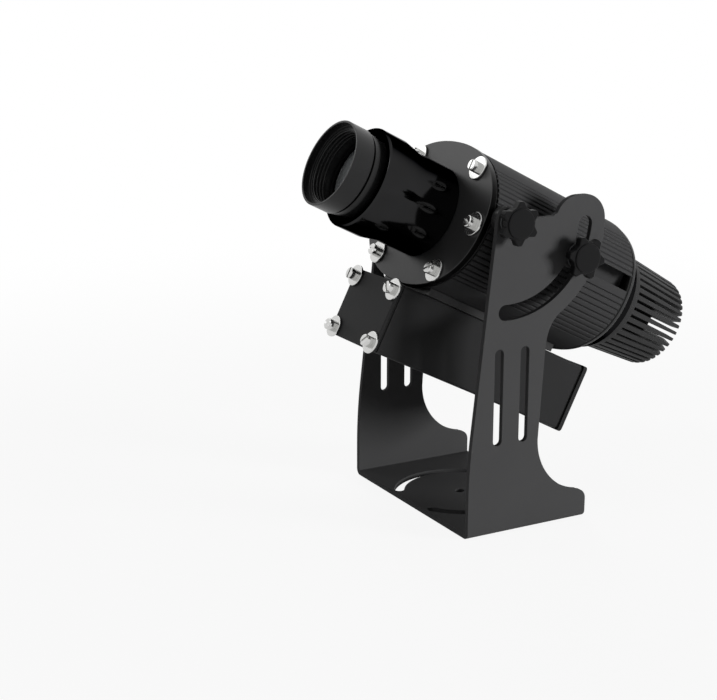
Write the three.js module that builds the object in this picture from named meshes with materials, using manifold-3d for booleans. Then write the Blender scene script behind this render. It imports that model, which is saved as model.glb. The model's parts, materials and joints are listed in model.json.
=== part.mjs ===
// Gobo projector on a tilting yoke: an oval aluminium head with a focusing lens
// tube in front, a finned heat sink behind and a driver box below, carried
// between the two arms of a bent plate yoke by four star knobs.
// Millimetres, Z up. X is the tilt axis. The lens looks along -Y and upwards.
// The origin lies on the underside of the yoke's base, below the tilt axis.
// Places on the head are given as x across, reach forward along the lens axis
// and z up from the lens axis, before the head is tilted.

import * as THREE from 'three';
import { mergeVertices } from 'three/addons/utils/BufferGeometryUtils.js';
import Module from 'manifold-3d';

const wasm = await Module();
wasm.setup();

// Fits, cuts and roundness
const fitGap = 0.3; // air left between two pieces that touch
const overrun = 5; // how far a cutter runs past what it cuts
const largeSides = 28; // sides of the large round pieces
const mediumSides = 16; // sides of the lenses and inner rings
const smallSides = 10; // sides of screws and studs
const washerSides = 12; // sides of washers, spacers and the gland
const holeSides = 8; // sides of plain screw holes
const curveSteps = 4; // steps of each curve in an outline
const slotArcSteps = 10; // steps along the arc of a curved slot
const bulgeSteps = 3; // steps of a lens face from its middle to its edge

// Yoke
const armGap = 6; // between the tube's side and the inside of each arm
const plateThickness = 3.5;
const bendInnerRadius = 1;
const tiltAxisHeight = 209.8;
const baseFront = 27.7; // base in front of the tilt axis
const baseRear = 67.5; // base behind it
const pivotLobeRadius = 9.5; // round end of the arm in front of the pivot
const pivotLobeEndDegrees = 22.5;
const armLeanHeight = 47.3; // corner where the front edge starts to lean
const armLeanBlend = 24; // length of the curve on each side of that corner
const valleyRise = 1; // top edge above the tilt axis between the two lobes
const valleyFront = 13;
const valleyLength = 20; // its rear end behind its front one
const lobeRadius = 17; // rounded top of the arm round the end of the arc slot
const lobeStartDegrees = 157;
const lobeSpread = 5.5;
const lobeRise = 2.3;
const lobeSetback = 1.2;
const arcSlotMargin = 11.4; // arc slot's outer edge to the arm's rear edge
const armArcEndDegrees = -58;
const shoulderReach = 31.4; // corner between the rear arc and the waist
const shoulderDrop = 71.2;
const waistTopReach = 30.2;
const waistTopDrop = 85.8;
const waistReach = 26.4;
const footArcEndDegrees = 260;
const footHeight = 20.5;
const footCornerRadius = 7;

// Slots and holes of the yoke
const lockReach = 59; // lock knob behind the pivot knob, and radius of the arc slot
const arcSlotWidth = 10.4;
const arcSlotTopDegrees = -5.9;
const arcSlotBottomDegrees = -92;
const armSlotWidth = 6.6; // upright slots for M6 screws
const armSlotBottom = 62;
const armSlotTopGap = 18.6; // their tops below the arc slot's lowest edge
const armSlotSpacing = 20;
const armSlotFront = 5.9; // front slot's centre in front of the tilt axis
const baseHoleReach = 14.6; // hole behind the tilt axis, and middle of the curved slots
const baseHoleRadius = 3.3;
const baseSlotWidth = 7;
const baseSlotHalfDegrees = 58;
const baseSlotMargin = 2.2; // slot's front end to the front edge of the base

// Head
const tiltDegrees = 26.7; // lens above the horizon at rest
const pivotRise = 9.8; // tilt axis above the lens axis
const ovalPower = 2.2; // power of the oval's superellipse
const ovalSteps = 48;
const tubeHalfWidth = 66.5;
const tubeHalfHeight = 50.5;
const tubeWall = 3.5;
const tubeFront = 5.5; // reach of the tube's front end
const tubeRear = -118.5; // reach of its rear end
const ribPitch = 4;
const ribGrooveWidth = 1.5;
const ribGrooveDepth = 1.1;
const ribFineSteps = 960; // steps of the walk round the oval that spaces the ribs
const ribTopHalfWidth = 44.5; // the ribs stop here above
const ribBottomHalfWidth = 46; // and here below
const channelOpening = 10.6; // T-slot along each side
const channelWidth = 14;
const channelLip = 1.24; // thickness of its lips at their thinnest place
const channelDepth = 6;
const channelWall = 3;
const bossRadius = 5.5;

// Fasteners
const screwRadius = 2;
const screwHeadRadius = 3.9;
const screwHeadHeight = 5.2;
const screwHeadChamfer = 0.5;
const screwSlotWidth = 1.4;
const screwSlotDepth = 1.6;
const screwLength = 9; // thread below the plate that it holds
const washerThickness = 1.5;
const plateWasherRadius = 8;
const boxWasherRadius = 7.5;

// Front plate and gaskets
const gasketThickness = 1.4;
const gasketInset = 1.2;
const frontPlateThickness = 4.5;
const frontPlateLip = 0.4; // front plate past the tube all round
const frontPlateChamfer = 0.8;
const sideScrewInset = 8.5; // side screws from the tube's sides
const cornerScrewXShare = 0.5564; // of the tube's half width
const cornerScrewZShare = 0.7129; // of its half height

// Lens barrel
const barrelWall = 4.5; // outside the focus tube's bore
const collarEnd = 72; // reach of the barrel's mouth
const collarLength = 18.5;
const collarConeLength = 13; // from the straight barrel up to the collar
const collarRise = 2.6; // collar outside the barrel
const collarChamfer = 1.6;
const collarLip = 4.6; // width of the mouth's face
const spigotStep = 2.5; // spigot inside the barrel's outer face
const spigotLength = 9;
const barrelMouthDepth = 4;
const barrelLensStep = 3.2; // rear lens inside the focus tube's outer face
const barrelLensSeat = 20; // reach of the shoulder that the rear lens rests on
const barrelLensThickness = 8;
const lensEdge = 2.4;
const lensRim = 2.8; // flat rim that seat and ring hold
const lensSeatWidth = 2.4;
const lensRingThickness = 2;
const lensRingWidth = 2.2;

// Focus tube with its hood
const focusRadius = 27.2;
const focusRear = 38;
const focusBoreRear = 28; // reach where the barrel's wide bore for it ends
const focusWall = 2.4;
const hoodGap = 8.5; // focus tube that shows between collar and hood
const hoodLength = 14.5;
const hoodRise = 2.2; // hood outside the focus tube
const hoodWall = 1.5;
const hoodDepth = 5; // thin wall in front of the lens pocket
const frontLensDepth = 25; // front lens's seat behind the hood's edge
const frontLensThickness = 11;

// Optics inside the tube
const sleeveWall = 3;
const sleevePlay = 0.7; // more air round the barrel's spigot
const sleeveRearGap = 8; // between the sleeve and the lamp's face
const sleeveFlangeShare = 0.4; // how far the flange reaches out towards the tube's wall
const sleeveFlangeThickness = 3;
const goboHolderFront = -6;
const goboHolderLength = 8;
const goboRadius = 18.5;
const goboThickness = 1.1;
const goboWindowRadius = 15;
const goboPatternHoles = 6;
const goboPatternHoleRadius = 3.2;
const goboPatternRadius = 9;
const goboCentreHoleRadius = 3;
const goboRingThickness = 1.2;
const goboRingWidth = 2;
const condenserPlay = 1.2;
const frontCondenserReach = -44;
const rearCondenserReach = -72;
const condenserThickness = 13;
const condenserEdge = 3;
const condenserSpacerWall = 2;

// Rear plate, neck, heat sink and lamp
const rearPlateThickness = 2.4;
const rearPlateInset = 1;
const neckRadius = 40;
const neckWall = 5;
const neckLength = 25.8;
const neckPlay = 0.5; // air between the neck and the heat sink's core
const lampInset = 6.5; // lamp's face in front of the tube's rear end
const sinkRingStep = 2.6; // ring behind the neck, inside the neck's outer face
const sinkRingLength = 6.5;
const finLength = 51.5;
const finStartStep = 0.8; // fins inside the ring's outer face
const finTaper = 3.2; // fins' rear ends inside their front ones
const finEndRounding = 3.2;
const finBulgeShare = 0.3; // how near the rounded end comes to a square one
const finRootRadius = 22;
const finCount = 40;
const finSlotWidth = 1.6;
const finSlotEndWidth = 2.6;
const sinkHollowDepth = 20;
const sinkHollowClearance = 0.6;
const lampBoardRadius = 22;
const lampBoardThickness = 1.6;
const lampChipSize = 20;
const lampChipThickness = 1.4;

// Driver box below the tube
const boxHalfWidth = 29.7;
const boxDrop = 2; // box's top below the tube's belly
const boxHeight = 47.8;
const boxWall = 2.4;
const boxCornerRadius = 2;
const boxFront = 23.6;
const boxRear = -139;
const boxPlateThickness = 2.4;
const boxRearPlateThickness = 3;
const boxRearPlateLip = 0.8;
const boxGasketThickness = 1;
const boxGasketInset = 0.5;
const boxGasketWidth = 1.4;
const boxScrewX = 25.5;
const boxScrewInset = 5.2; // screws from the box's top and bottom faces
const boxScrewBoss = 3.9;
const boxScrewRadius = 1.7;
const saddleFrontInset = 1; // saddle's ends from the tube's
const saddleRearInset = 10.5;
const saddleWrap = 4; // its edges rise this far beside the tube's belly
const saddleScrewFront = -20;
const saddleScrewSpacing = 62;
const boardRailWidth = 5;
const boardRailHeight = 3;
const boardHalfWidth = 24;
const boardThickness = 1.6;
const boardFrontInset = 15.6; // board's ends from the box's
const boardRearInset = 15;
const transformerLength = 34;
const transformerWidth = 30;
const transformerHeight = 24;
const transformerReach = -40;
const capacitorRadius = 8;
const capacitorHeight = 26;
const capacitorReach = -82;
const glandRadius = 9;
const glandBoreRadius = 4.2;
const glandCollarLength = 5;
const glandDomeLength = 10;
const glandDomeRadius = 6.4;
const glandStep = 0.5; // the dome is this much smaller than the collar
const glandThreadRadius = 6;
const glandThreadLength = 3.5; // past the plate's inner face
const glandDrop = 24; // gland's axis below the box's top

// Knobs and what they clamp
const spacerRadius = 9;
const knobWasherRadius = 8.5;
const studRadius = 3;
const knobRadius = 14.2;
const knobValleyRadius = 10.8;
const knobLugs = 6;
const knobLugHalfDegrees = 9;
const knobValleyHalfDegrees = 8;
const knobHubRadius = 7.5;
const knobHubHeight = 4.2;
const knobStarHeight = 5.6;
const knobBevel = 0.8;
const knobCapRadius = 9.7;
const knobCapHeight = 1;
const knobCapRim = 0.6;
const nutLength = 10;
const nutLipGap = 0.4;

// Finishes
function finish(color, roughness, metalness) {
  return new THREE.MeshStandardMaterial({ color, roughness, metalness });
}
const satinBlack = () => finish(0x2b2c2e, 0.5, 0.3);
const glossBlack = () => finish(0x0c0c0e, 0.12, 0.2);
const plateBlack = () => finish(0x3a3b3d, 0.6, 0.2);
const knobBlack = () => finish(0x1b1c1e, 0.45, 0);
const rubberBlack = () => finish(0x0b0b0b, 0.85, 0);
const nickel = () => finish(0xd6d6d2, 0.25, 1);
const steel = () => finish(0x9a9c9f, 0.35, 1);
const clearGlass = () => finish(0xdfe9ee, 0.05, 0);
const boardGreen = () => finish(0x1e5a38, 0.6, 0);
const boardWhite = () => finish(0xe8e8e2, 0.6, 0);
const lampYellow = () => finish(0xe6c84a, 0.5, 0);

const radians = THREE.MathUtils.degToRad;

// Places that follow from the sizes above
const armInside = tubeHalfWidth + armGap;
const armOutside = armInside + plateThickness;
const channelTop = pivotRise + channelWidth / 2;
const lipInside = tubeHalfWidthAt(channelTop) - channelLip;
const channelFloor = lipInside - channelDepth;
const arcSlotReach = lockReach + arcSlotWidth / 2;
const armSlotTop = tiltAxisHeight - arcSlotReach - armSlotTopGap;
const baseSlotHalfLength = baseFront + baseHoleReach - baseSlotWidth / 2 - baseSlotMargin;
const baseSlotRadius = baseSlotHalfLength / Math.sin(radians(baseSlotHalfDegrees));
const frontGasketBack = tubeFront + fitGap;
const frontPlateBack = frontGasketBack + gasketThickness + fitGap;
const frontPlateFace = frontPlateBack + frontPlateThickness;
const rearGasketFront = tubeRear - fitGap;
const rearPlateFront = rearGasketFront - gasketThickness - fitGap;
const rearPlateBack = rearPlateFront - rearPlateThickness;
const barrelRadius = focusRadius + fitGap + barrelWall;
const barrelLensRadius = focusRadius - barrelLensStep;
const spigotRadius = barrelRadius - spigotStep;
const hoodRear = collarEnd + hoodGap;
const hoodFront = hoodRear + hoodLength;
const frontLensSeat = hoodFront - frontLensDepth;
const lampFace = tubeRear + lampInset;
const sleeveRadius = spigotRadius + fitGap + sleevePlay + sleeveWall;
const sleeveBore = sleeveRadius - sleeveWall - fitGap;
const neckRear = rearPlateBack - fitGap - neckLength;
const coreRadius = neckRadius - neckWall - neckPlay;
const boxTop = -tubeHalfHeight - boxDrop;
const boxBottom = boxTop - boxHeight;
const sideScrewX = tubeHalfWidth - sideScrewInset;
const cornerScrewX = tubeHalfWidth * cornerScrewXShare;
const cornerScrewZ = tubeHalfHeight * cornerScrewZShare;
const plateScrewPlaces = [
  [sideScrewX, 0],
  [-sideScrewX, 0],
  [cornerScrewX, cornerScrewZ],
  [-cornerScrewX, cornerScrewZ],
  [cornerScrewX, -cornerScrewZ],
  [-cornerScrewX, -cornerScrewZ],
];
const boxScrewPlaces = [
  [boxScrewX, boxTop - boxScrewInset],
  [-boxScrewX, boxTop - boxScrewInset],
  [boxScrewX, boxBottom + boxScrewInset],
  [-boxScrewX, boxBottom + boxScrewInset],
];

// A closed geometry as a solid, with its faces turned outwards
function solid(source) {
  const geometry = source.index ? source.toNonIndexed() : source.clone();
  geometry.deleteAttribute('normal');
  geometry.deleteAttribute('uv');
  const merged = mergeVertices(geometry, fitGap / 1000);
  const points = merged.attributes.position;
  const index = merged.index.array;
  const corner = [new THREE.Vector3(), new THREE.Vector3(), new THREE.Vector3()];
  const kept = [];
  let volume = 0;
  for (let i = 0; i < index.length; i += 3) {
    const [a, b, c] = [index[i], index[i + 1], index[i + 2]];
    if (a === b || b === c || c === a) continue;
    [a, b, c].forEach((vertex, n) => corner[n].fromBufferAttribute(points, vertex));
    volume += corner[0].dot(corner[1].cross(corner[2]));
    kept.push(a, b, c);
  }
  if (volume < 0) {
    for (let i = 0; i < kept.length; i += 3) {
      [kept[i], kept[i + 1]] = [kept[i + 1], kept[i]];
    }
  }
  return new wasm.Manifold(new wasm.Mesh({
    numProp: 3,
    vertProperties: new Float32Array(points.array),
    triVerts: new Uint32Array(kept),
  }));
}

function united(solids) {
  return solids.reduce((whole, next) => whole.add(next));
}

function without(whole, cutters) {
  return cutters.reduce((rest, cutter) => rest.subtract(cutter), whole);
}

// A solid as a named mesh
function piece(name, body, material) {
  const { vertProperties, triVerts } = body.getMesh();
  const geometry = new THREE.BufferGeometry();
  geometry.setAttribute('position', new THREE.BufferAttribute(vertProperties, 3));
  geometry.setIndex(new THREE.BufferAttribute(triVerts, 1));
  const mesh = new THREE.Mesh(geometry, material);
  mesh.name = name;
  return mesh;
}

// A ring turned about the lens axis from points of radius and reach
function turned(points, sides) {
  const profile = points.map(([radius, reach]) => new THREE.Vector2(radius, -reach));
  return new THREE.LatheGeometry([...profile, profile[0]], sides);
}

// The same about an axis along X, from points of radius and x
function turnedAcross(points, sides) {
  const profile = points.map(([radius, x]) => new THREE.Vector2(radius, x));
  return new THREE.LatheGeometry([...profile, profile[0]], sides).rotateZ(-Math.PI / 2);
}

// The same about an upright axis, from points of radius and z
function turnedUp(points, sides) {
  const profile = points.map(([radius, z]) => new THREE.Vector2(radius, z));
  return new THREE.LatheGeometry([...profile, profile[0]], sides).rotateX(Math.PI / 2);
}

// A plain rod or disc about the lens axis
function rod(radius, rear, front, sides) {
  return turned([[0, rear], [radius, rear], [radius, front], [0, front]], sides);
}

function prism(shape, depth) {
  return new THREE.ExtrudeGeometry(shape, { depth, bevelEnabled: false, curveSegments: curveSteps });
}

// An outline of x and z, run along the lens axis
function prismAlong(shape, rear, front) {
  return prism(shape, front - rear).rotateX(Math.PI / 2).translate(0, -rear, 0);
}

// An outline of y and z, run across
function prismAcross(shape, left, right) {
  const turn = new THREE.Matrix4().makeBasis(
    new THREE.Vector3(0, 1, 0),
    new THREE.Vector3(0, 0, 1),
    new THREE.Vector3(1, 0, 0),
  );
  return prism(shape, right - left).applyMatrix4(turn).translate(left, 0, 0);
}

// A block between two corners of x, reach and z
function block(left, right, rear, front, bottom, top) {
  const geometry = new THREE.BoxGeometry(right - left, front - rear, top - bottom);
  return geometry.translate((left + right) / 2, -(front + rear) / 2, (bottom + top) / 2);
}

function mirrored(geometry) {
  return geometry.clone().applyMatrix4(new THREE.Matrix4().makeScale(-1, 1, 1));
}

function ovalShape(halfWidth, halfHeight) {
  const points = [];
  for (let step = 0; step < ovalSteps; step += 1) {
    const turn = (2 * Math.PI * step) / ovalSteps;
    points.push(ovalPoint(halfWidth, halfHeight, turn));
  }
  return new THREE.Shape(points);
}

function ovalPoint(halfWidth, halfHeight, turn) {
  const across = Math.cos(turn);
  const up = Math.sin(turn);
  return new THREE.Vector2(
    halfWidth * Math.sign(across) * Math.abs(across) ** (2 / ovalPower),
    halfHeight * Math.sign(up) * Math.abs(up) ** (2 / ovalPower),
  );
}

// Half width of the tube at a height above its middle
function tubeHalfWidthAt(z) {
  return tubeHalfWidth * (1 - Math.abs(z / tubeHalfHeight) ** ovalPower) ** (1 / ovalPower);
}

function roundedRectangle(halfWidth, bottom, top, radius) {
  const shape = new THREE.Shape();
  shape.moveTo(-halfWidth + radius, bottom);
  shape.absarc(halfWidth - radius, bottom + radius, radius, -Math.PI / 2, 0, false);
  shape.absarc(halfWidth - radius, top - radius, radius, 0, Math.PI / 2, false);
  shape.absarc(-halfWidth + radius, top - radius, radius, Math.PI / 2, Math.PI, false);
  shape.absarc(-halfWidth + radius, bottom + radius, radius, Math.PI, 1.5 * Math.PI, false);
  return shape;
}

// A slot with round ends that follows an arc, between two angles
function arcSlotShape(centreX, centreY, radius, width, from, to) {
  const half = width / 2;
  const at = (reach, angle) => [centreX + reach * Math.cos(angle), centreY + reach * Math.sin(angle)];
  const angles = Array.from({ length: slotArcSteps }, (_, n) => from + ((to - from) * n) / slotArcSteps);
  const shape = new THREE.Shape();
  shape.moveTo(...at(radius + half, from));
  angles.slice(1).forEach((angle) => shape.lineTo(...at(radius + half, angle)));
  shape.absarc(...at(radius, to), half, to, to + Math.PI, false);
  angles.slice(1).reverse().forEach((angle) => shape.lineTo(...at(radius - half, angle)));
  shape.absarc(...at(radius, from), half, from + Math.PI, from + 2 * Math.PI, false);
  return shape;
}

function uprightSlotShape(centre, bottom, top, width) {
  const half = width / 2;
  const shape = new THREE.Shape();
  shape.absarc(centre, bottom + half, half, Math.PI, 2 * Math.PI, false);
  shape.absarc(centre, top - half, half, 0, Math.PI, false);
  return shape;
}

// Outline of a yoke arm with the end of the base, in y and z
function armShape() {
  const leanFoot = new THREE.Vector2(-baseFront, armLeanHeight);
  const pivotEdge = new THREE.Vector2(-pivotLobeRadius, tiltAxisHeight);
  const lean = pivotEdge.clone().sub(leanFoot).setLength(armLeanBlend).add(leanFoot);
  const slotTop = radians(arcSlotTopDegrees);
  const lobeRear = lockReach * Math.cos(slotTop) - lobeSetback;
  const lobeHeight = tiltAxisHeight + lockReach * Math.sin(slotTop) + lobeRise;
  const lobeFront = lobeRear - lobeSpread;
  const arcEnd = radians(armArcEndDegrees);
  const footArcRadius = baseRear - waistReach;
  const shape = new THREE.Shape();
  shape.moveTo(-baseFront, 0);
  shape.lineTo(-baseFront, armLeanHeight - armLeanBlend);
  shape.quadraticCurveTo(leanFoot.x, leanFoot.y, lean.x, lean.y);
  shape.absarc(0, tiltAxisHeight, pivotLobeRadius, Math.PI, radians(pivotLobeEndDegrees), true);
  shape.lineTo(valleyFront, tiltAxisHeight + valleyRise);
  shape.lineTo(valleyFront + valleyLength, tiltAxisHeight + valleyRise);
  shape.absarc(lobeFront, lobeHeight, lobeRadius, radians(lobeStartDegrees), Math.PI / 2, true);
  shape.absarc(lobeRear, lobeHeight, lobeRadius, Math.PI / 2, 0, true);
  shape.absarc(0, tiltAxisHeight, arcSlotReach + arcSlotMargin, slotTop * 2, arcEnd, true);
  shape.quadraticCurveTo(
    shoulderReach, tiltAxisHeight - shoulderDrop, waistTopReach, tiltAxisHeight - waistTopDrop,
  );
  shape.absarc(
    baseRear, footHeight + footArcRadius, footArcRadius, Math.PI, radians(footArcEndDegrees), false,
  );
  shape.absarc(
    baseRear - footCornerRadius, footHeight - footCornerRadius, footCornerRadius, Math.PI / 2, 0, true,
  );
  shape.lineTo(baseRear, 0);
  return shape;
}

// Section of the bent plate, in x and z
function bentPlateShape() {
  const outerRadius = bendInnerRadius + plateThickness;
  const top = tiltAxisHeight + lobeRise + lobeRadius + overrun;
  const innerBend = armInside - bendInnerRadius;
  const outerBend = armOutside - outerRadius;
  const shape = new THREE.Shape();
  shape.moveTo(-armOutside, top);
  shape.lineTo(-armOutside, outerRadius);
  shape.absarc(-outerBend, outerRadius, outerRadius, Math.PI, 1.5 * Math.PI, false);
  shape.absarc(outerBend, outerRadius, outerRadius, 1.5 * Math.PI, 2 * Math.PI, false);
  shape.lineTo(armOutside, top);
  shape.lineTo(armInside, top);
  shape.absarc(innerBend, outerRadius, bendInnerRadius, 0, -Math.PI / 2, true);
  shape.absarc(-innerBend, outerRadius, bendInnerRadius, -Math.PI / 2, -Math.PI, true);
  shape.lineTo(-armInside, top);
  return shape;
}

function yokeBracket() {
  const acrossAll = (shape) => solid(prismAcross(shape, -armOutside - overrun, armOutside + overrun));
  const bent = solid(prismAlong(bentPlateShape(), -baseRear - overrun, baseFront + overrun));
  const arcSlot = arcSlotShape(
    0, tiltAxisHeight, lockReach, arcSlotWidth,
    radians(arcSlotBottomDegrees), radians(arcSlotTopDegrees),
  );
  const cutters = [acrossAll(arcSlot)];
  for (const centre of [-armSlotFront, armSlotSpacing - armSlotFront]) {
    cutters.push(acrossAll(uprightSlotShape(centre, armSlotBottom, armSlotTop, armSlotWidth)));
  }
  const pivotHole = turnedAcross([
    [0, -armOutside - overrun],
    [studRadius + fitGap, -armOutside - overrun],
    [studRadius + fitGap, armOutside + overrun],
    [0, armOutside + overrun],
  ], smallSides);
  cutters.push(solid(pivotHole.translate(0, 0, tiltAxisHeight)));
  const halfAngle = radians(baseSlotHalfDegrees);
  for (const side of [0, Math.PI]) {
    const slot = arcSlotShape(
      0, baseHoleReach, baseSlotRadius, baseSlotWidth, side - halfAngle, side + halfAngle,
    );
    cutters.push(solid(prism(slot, plateThickness + 2 * overrun).translate(0, 0, -overrun)));
  }
  const centreHole = turnedUp([
    [0, -overrun], [baseHoleRadius, -overrun],
    [baseHoleRadius, plateThickness + overrun], [0, plateThickness + overrun],
  ], mediumSides);
  cutters.push(solid(centreHole.translate(0, baseHoleReach, 0)));
  return without(bent.intersect(acrossAll(armShape())), cutters);
}

// Middles of the grooves on the right side: an even walk along the oval
function ribPlaces() {
  const places = [];
  const clearOfChannel = (channelWidth + ribGrooveWidth) / 2;
  let walked = 0;
  let last = null;
  for (let step = -ribFineSteps / 4; step <= ribFineSteps / 4; step += 1) {
    const turn = (2 * Math.PI * step) / ribFineSteps;
    const here = ovalPoint(tubeHalfWidth, tubeHalfHeight, turn);
    const limit = here.y > 0 ? ribTopHalfWidth : ribBottomHalfWidth;
    if (last && here.x > limit) walked += here.distanceTo(last);
    last = here;
    if (walked < ribPitch) continue;
    walked -= ribPitch;
    if (Math.abs(here.y - pivotRise) < clearOfChannel) continue;
    const ahead = ovalPoint(tubeHalfWidth, tubeHalfHeight, turn + Math.PI / ribFineSteps);
    places.push({ here, slope: Math.atan2(ahead.y - here.y, ahead.x - here.x) });
  }
  return places;
}

function ribGroove({ here, slope }) {
  const shape = new THREE.Shape();
  shape.moveTo(-ribGrooveWidth / 2, -ribGrooveWidth);
  shape.lineTo(ribGrooveWidth / 2, -ribGrooveWidth);
  shape.lineTo(ribGrooveWidth / 4, ribGrooveDepth);
  shape.lineTo(-ribGrooveWidth / 4, ribGrooveDepth);
  const groove = prismAlong(shape, tubeRear - overrun, tubeFront + overrun);
  return groove.rotateY(-slope).translate(here.x, 0, here.y);
}

function bodyTube() {
  const rear = tubeRear - overrun;
  const front = tubeFront + overrun;
  const outer = solid(prismAlong(ovalShape(tubeHalfWidth, tubeHalfHeight), tubeRear, tubeFront));
  const inner = solid(prismAlong(
    ovalShape(tubeHalfWidth - tubeWall, tubeHalfHeight - tubeWall), rear, front,
  ));
  const halfBoss = channelWidth / 2 + channelWall;
  const channelBoss = block(
    channelFloor - channelWall, tubeHalfWidth - tubeWall - ribGrooveWidth, tubeRear, tubeFront,
    pivotRise - halfBoss, pivotRise + halfBoss,
  );
  const bosses = [channelBoss, mirrored(channelBoss)];
  const pilots = [];
  for (const [x, z] of plateScrewPlaces) {
    bosses.push(rod(bossRadius, tubeRear, tubeFront, smallSides).translate(x, 0, z));
    const pilot = rod(screwRadius + fitGap, rear, front, smallSides);
    pilots.push(pilot.translate(x, 0, z));
  }
  const cavity = block(
    channelFloor, lipInside, rear, front, pivotRise - channelWidth / 2, pivotRise + channelWidth / 2,
  );
  const opening = block(
    channelFloor + channelWall, tubeHalfWidth + overrun, rear, front,
    pivotRise - channelOpening / 2, pivotRise + channelOpening / 2,
  );
  const grooves = ribPlaces().map(ribGroove);
  const cutters = [cavity, mirrored(cavity), opening, mirrored(opening)];
  cutters.push(...pilots, ...grooves, ...grooves.map(mirrored), ...saddleScrewHoles(tubeWall));
  const filled = united([outer.subtract(inner), ...bosses.map(solid)]).intersect(outer);
  return without(filled, cutters.map(solid));
}

// One screw along the lens axis, its head in front of reach 0
function screwGeometry(radius, length, headRadius, headHeight) {
  return turned([
    [0, -length], [radius, -length], [radius, 0],
    [headRadius, 0], [headRadius, headHeight - screwHeadChamfer],
    [headRadius - screwHeadChamfer, headHeight], [0, headHeight],
  ], smallSides);
}

// A slotted screw with its captive washer, the washer's back at reach 0
function slottedScrew(radius, length, washerRadius) {
  const screw = screwGeometry(radius, length, screwHeadRadius, screwHeadHeight);
  const washer = rod(washerRadius, 0, washerThickness, washerSides);
  const slot = block(
    -screwHeadRadius - overrun, screwHeadRadius + overrun,
    washerThickness + screwHeadHeight - screwSlotDepth, washerThickness + screwHeadHeight + overrun,
    -screwSlotWidth / 2, screwSlotWidth / 2,
  );
  const whole = solid(screw.translate(0, -washerThickness, 0)).add(solid(washer));
  return whole.subtract(solid(slot));
}

// The same solid as a geometry, so that copies of it can be placed
function asGeometry(body) {
  return piece('', body, null).geometry;
}

// Named screws at their places, each with its slot at another angle
function addScrews(parent, prefix, places, radius, length, washerRadius, reach) {
  const screw = asGeometry(slottedScrew(radius, length, washerRadius));
  places.forEach(([x, z], n) => {
    const body = solid(screw.clone().rotateY((n + 1) * (Math.PI / places.length)));
    const mesh = piece(`${prefix}_screw_${n + 1}`, body, nickel());
    mesh.position.set(x, -reach, z);
    parent.add(mesh);
  });
}

// Holes for the six screws of an end plate
function plateHoles(rear, front) {
  return plateScrewPlaces.map(([x, z]) => {
    const hole = rod(screwRadius + fitGap, rear - overrun, front + overrun, holeSides);
    return solid(hole.translate(x, 0, z));
  });
}

// Gasket on the end of the tube's wall
function ovalGasket(rear) {
  const ring = (inset) => ovalShape(tubeHalfWidth - inset, tubeHalfHeight - inset);
  const front = rear + gasketThickness;
  const opening = prismAlong(ring(tubeWall), rear - overrun, front + overrun);
  return solid(prismAlong(ring(gasketInset), rear, front)).subtract(solid(opening));
}

function frontPlate() {
  const halfWidth = tubeHalfWidth + frontPlateLip;
  const halfHeight = tubeHalfHeight + frontPlateLip;
  const bore = rod(spigotRadius + fitGap, frontPlateBack - overrun, frontPlateFace + overrun, largeSides);
  const bevelled = new THREE.ExtrudeGeometry(ovalShape(halfWidth, halfHeight), {
    depth: frontPlateThickness - frontPlateChamfer,
    bevelThickness: frontPlateChamfer,
    bevelSize: frontPlateChamfer,
    bevelOffset: -frontPlateChamfer,
    bevelSegments: 1,
  });
  const below = block(
    -halfWidth - overrun, halfWidth + overrun, frontPlateBack - overrun, frontPlateBack,
    -halfHeight - overrun, halfHeight + overrun,
  );
  const plate = solid(bevelled.rotateX(Math.PI / 2).translate(0, -frontPlateBack, 0));
  return without(plate, [solid(below), solid(bore), ...plateHoles(frontPlateBack, frontPlateFace)]);
}

function rearPlate() {
  const outline = ovalShape(tubeHalfWidth - rearPlateInset, tubeHalfHeight - rearPlateInset);
  const bore = rod(coreRadius + fitGap, rearPlateBack - overrun, rearPlateFront + overrun, largeSides);
  const plate = solid(prismAlong(outline, rearPlateBack, rearPlateFront));
  return without(plate, [solid(bore), ...plateHoles(rearPlateBack, rearPlateFront)]);
}

function lensBarrel() {
  const seat = frontPlateFace + fitGap;
  const focusBore = focusRadius + fitGap;
  const ringOutside = barrelLensRadius + fitGap;
  const collarRadius = barrelRadius + collarRise;
  const collarStart = collarEnd - collarLength;
  const mouthRadius = collarRadius - collarLip;
  return solid(turned([
    [barrelLensRadius - lensSeatWidth, seat - spigotLength], [spigotRadius, seat - spigotLength],
    [spigotRadius, seat], [barrelRadius, seat], [barrelRadius, collarStart - collarConeLength],
    [collarRadius, collarStart], [collarRadius, collarEnd - collarChamfer],
    [collarRadius - collarChamfer, collarEnd], [mouthRadius, collarEnd],
    [mouthRadius, collarEnd - barrelMouthDepth], [focusBore, collarEnd - barrelMouthDepth],
    [focusBore, focusBoreRear], [ringOutside, focusBoreRear],
    [ringOutside, barrelLensSeat], [barrelLensRadius - lensSeatWidth, barrelLensSeat],
  ], largeSides));
}

// A lens with two bulged faces inside a flat rim, its rear edge at a reach
function lensGeometry(radius, rearEdge, edge, thickness, sides) {
  const bulge = (thickness - edge) / 2;
  const bulgeRadius = radius - lensRim;
  const rearFace = [];
  const frontFace = [];
  for (let step = 0; step <= bulgeSteps; step += 1) {
    const share = step / bulgeSteps;
    const rise = bulge * (1 - share * share);
    rearFace.push([bulgeRadius * share, rearEdge - rise]);
    frontFace.unshift([bulgeRadius * share, rearEdge + edge + rise]);
  }
  return turned(
    [...rearFace, [radius, rearEdge], [radius, rearEdge + edge], ...frontFace], sides,
  );
}

function ringSolid(outer, inner, rear, front, sides) {
  return solid(turned([[inner, rear], [outer, rear], [outer, front], [inner, front]], sides));
}

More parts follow.
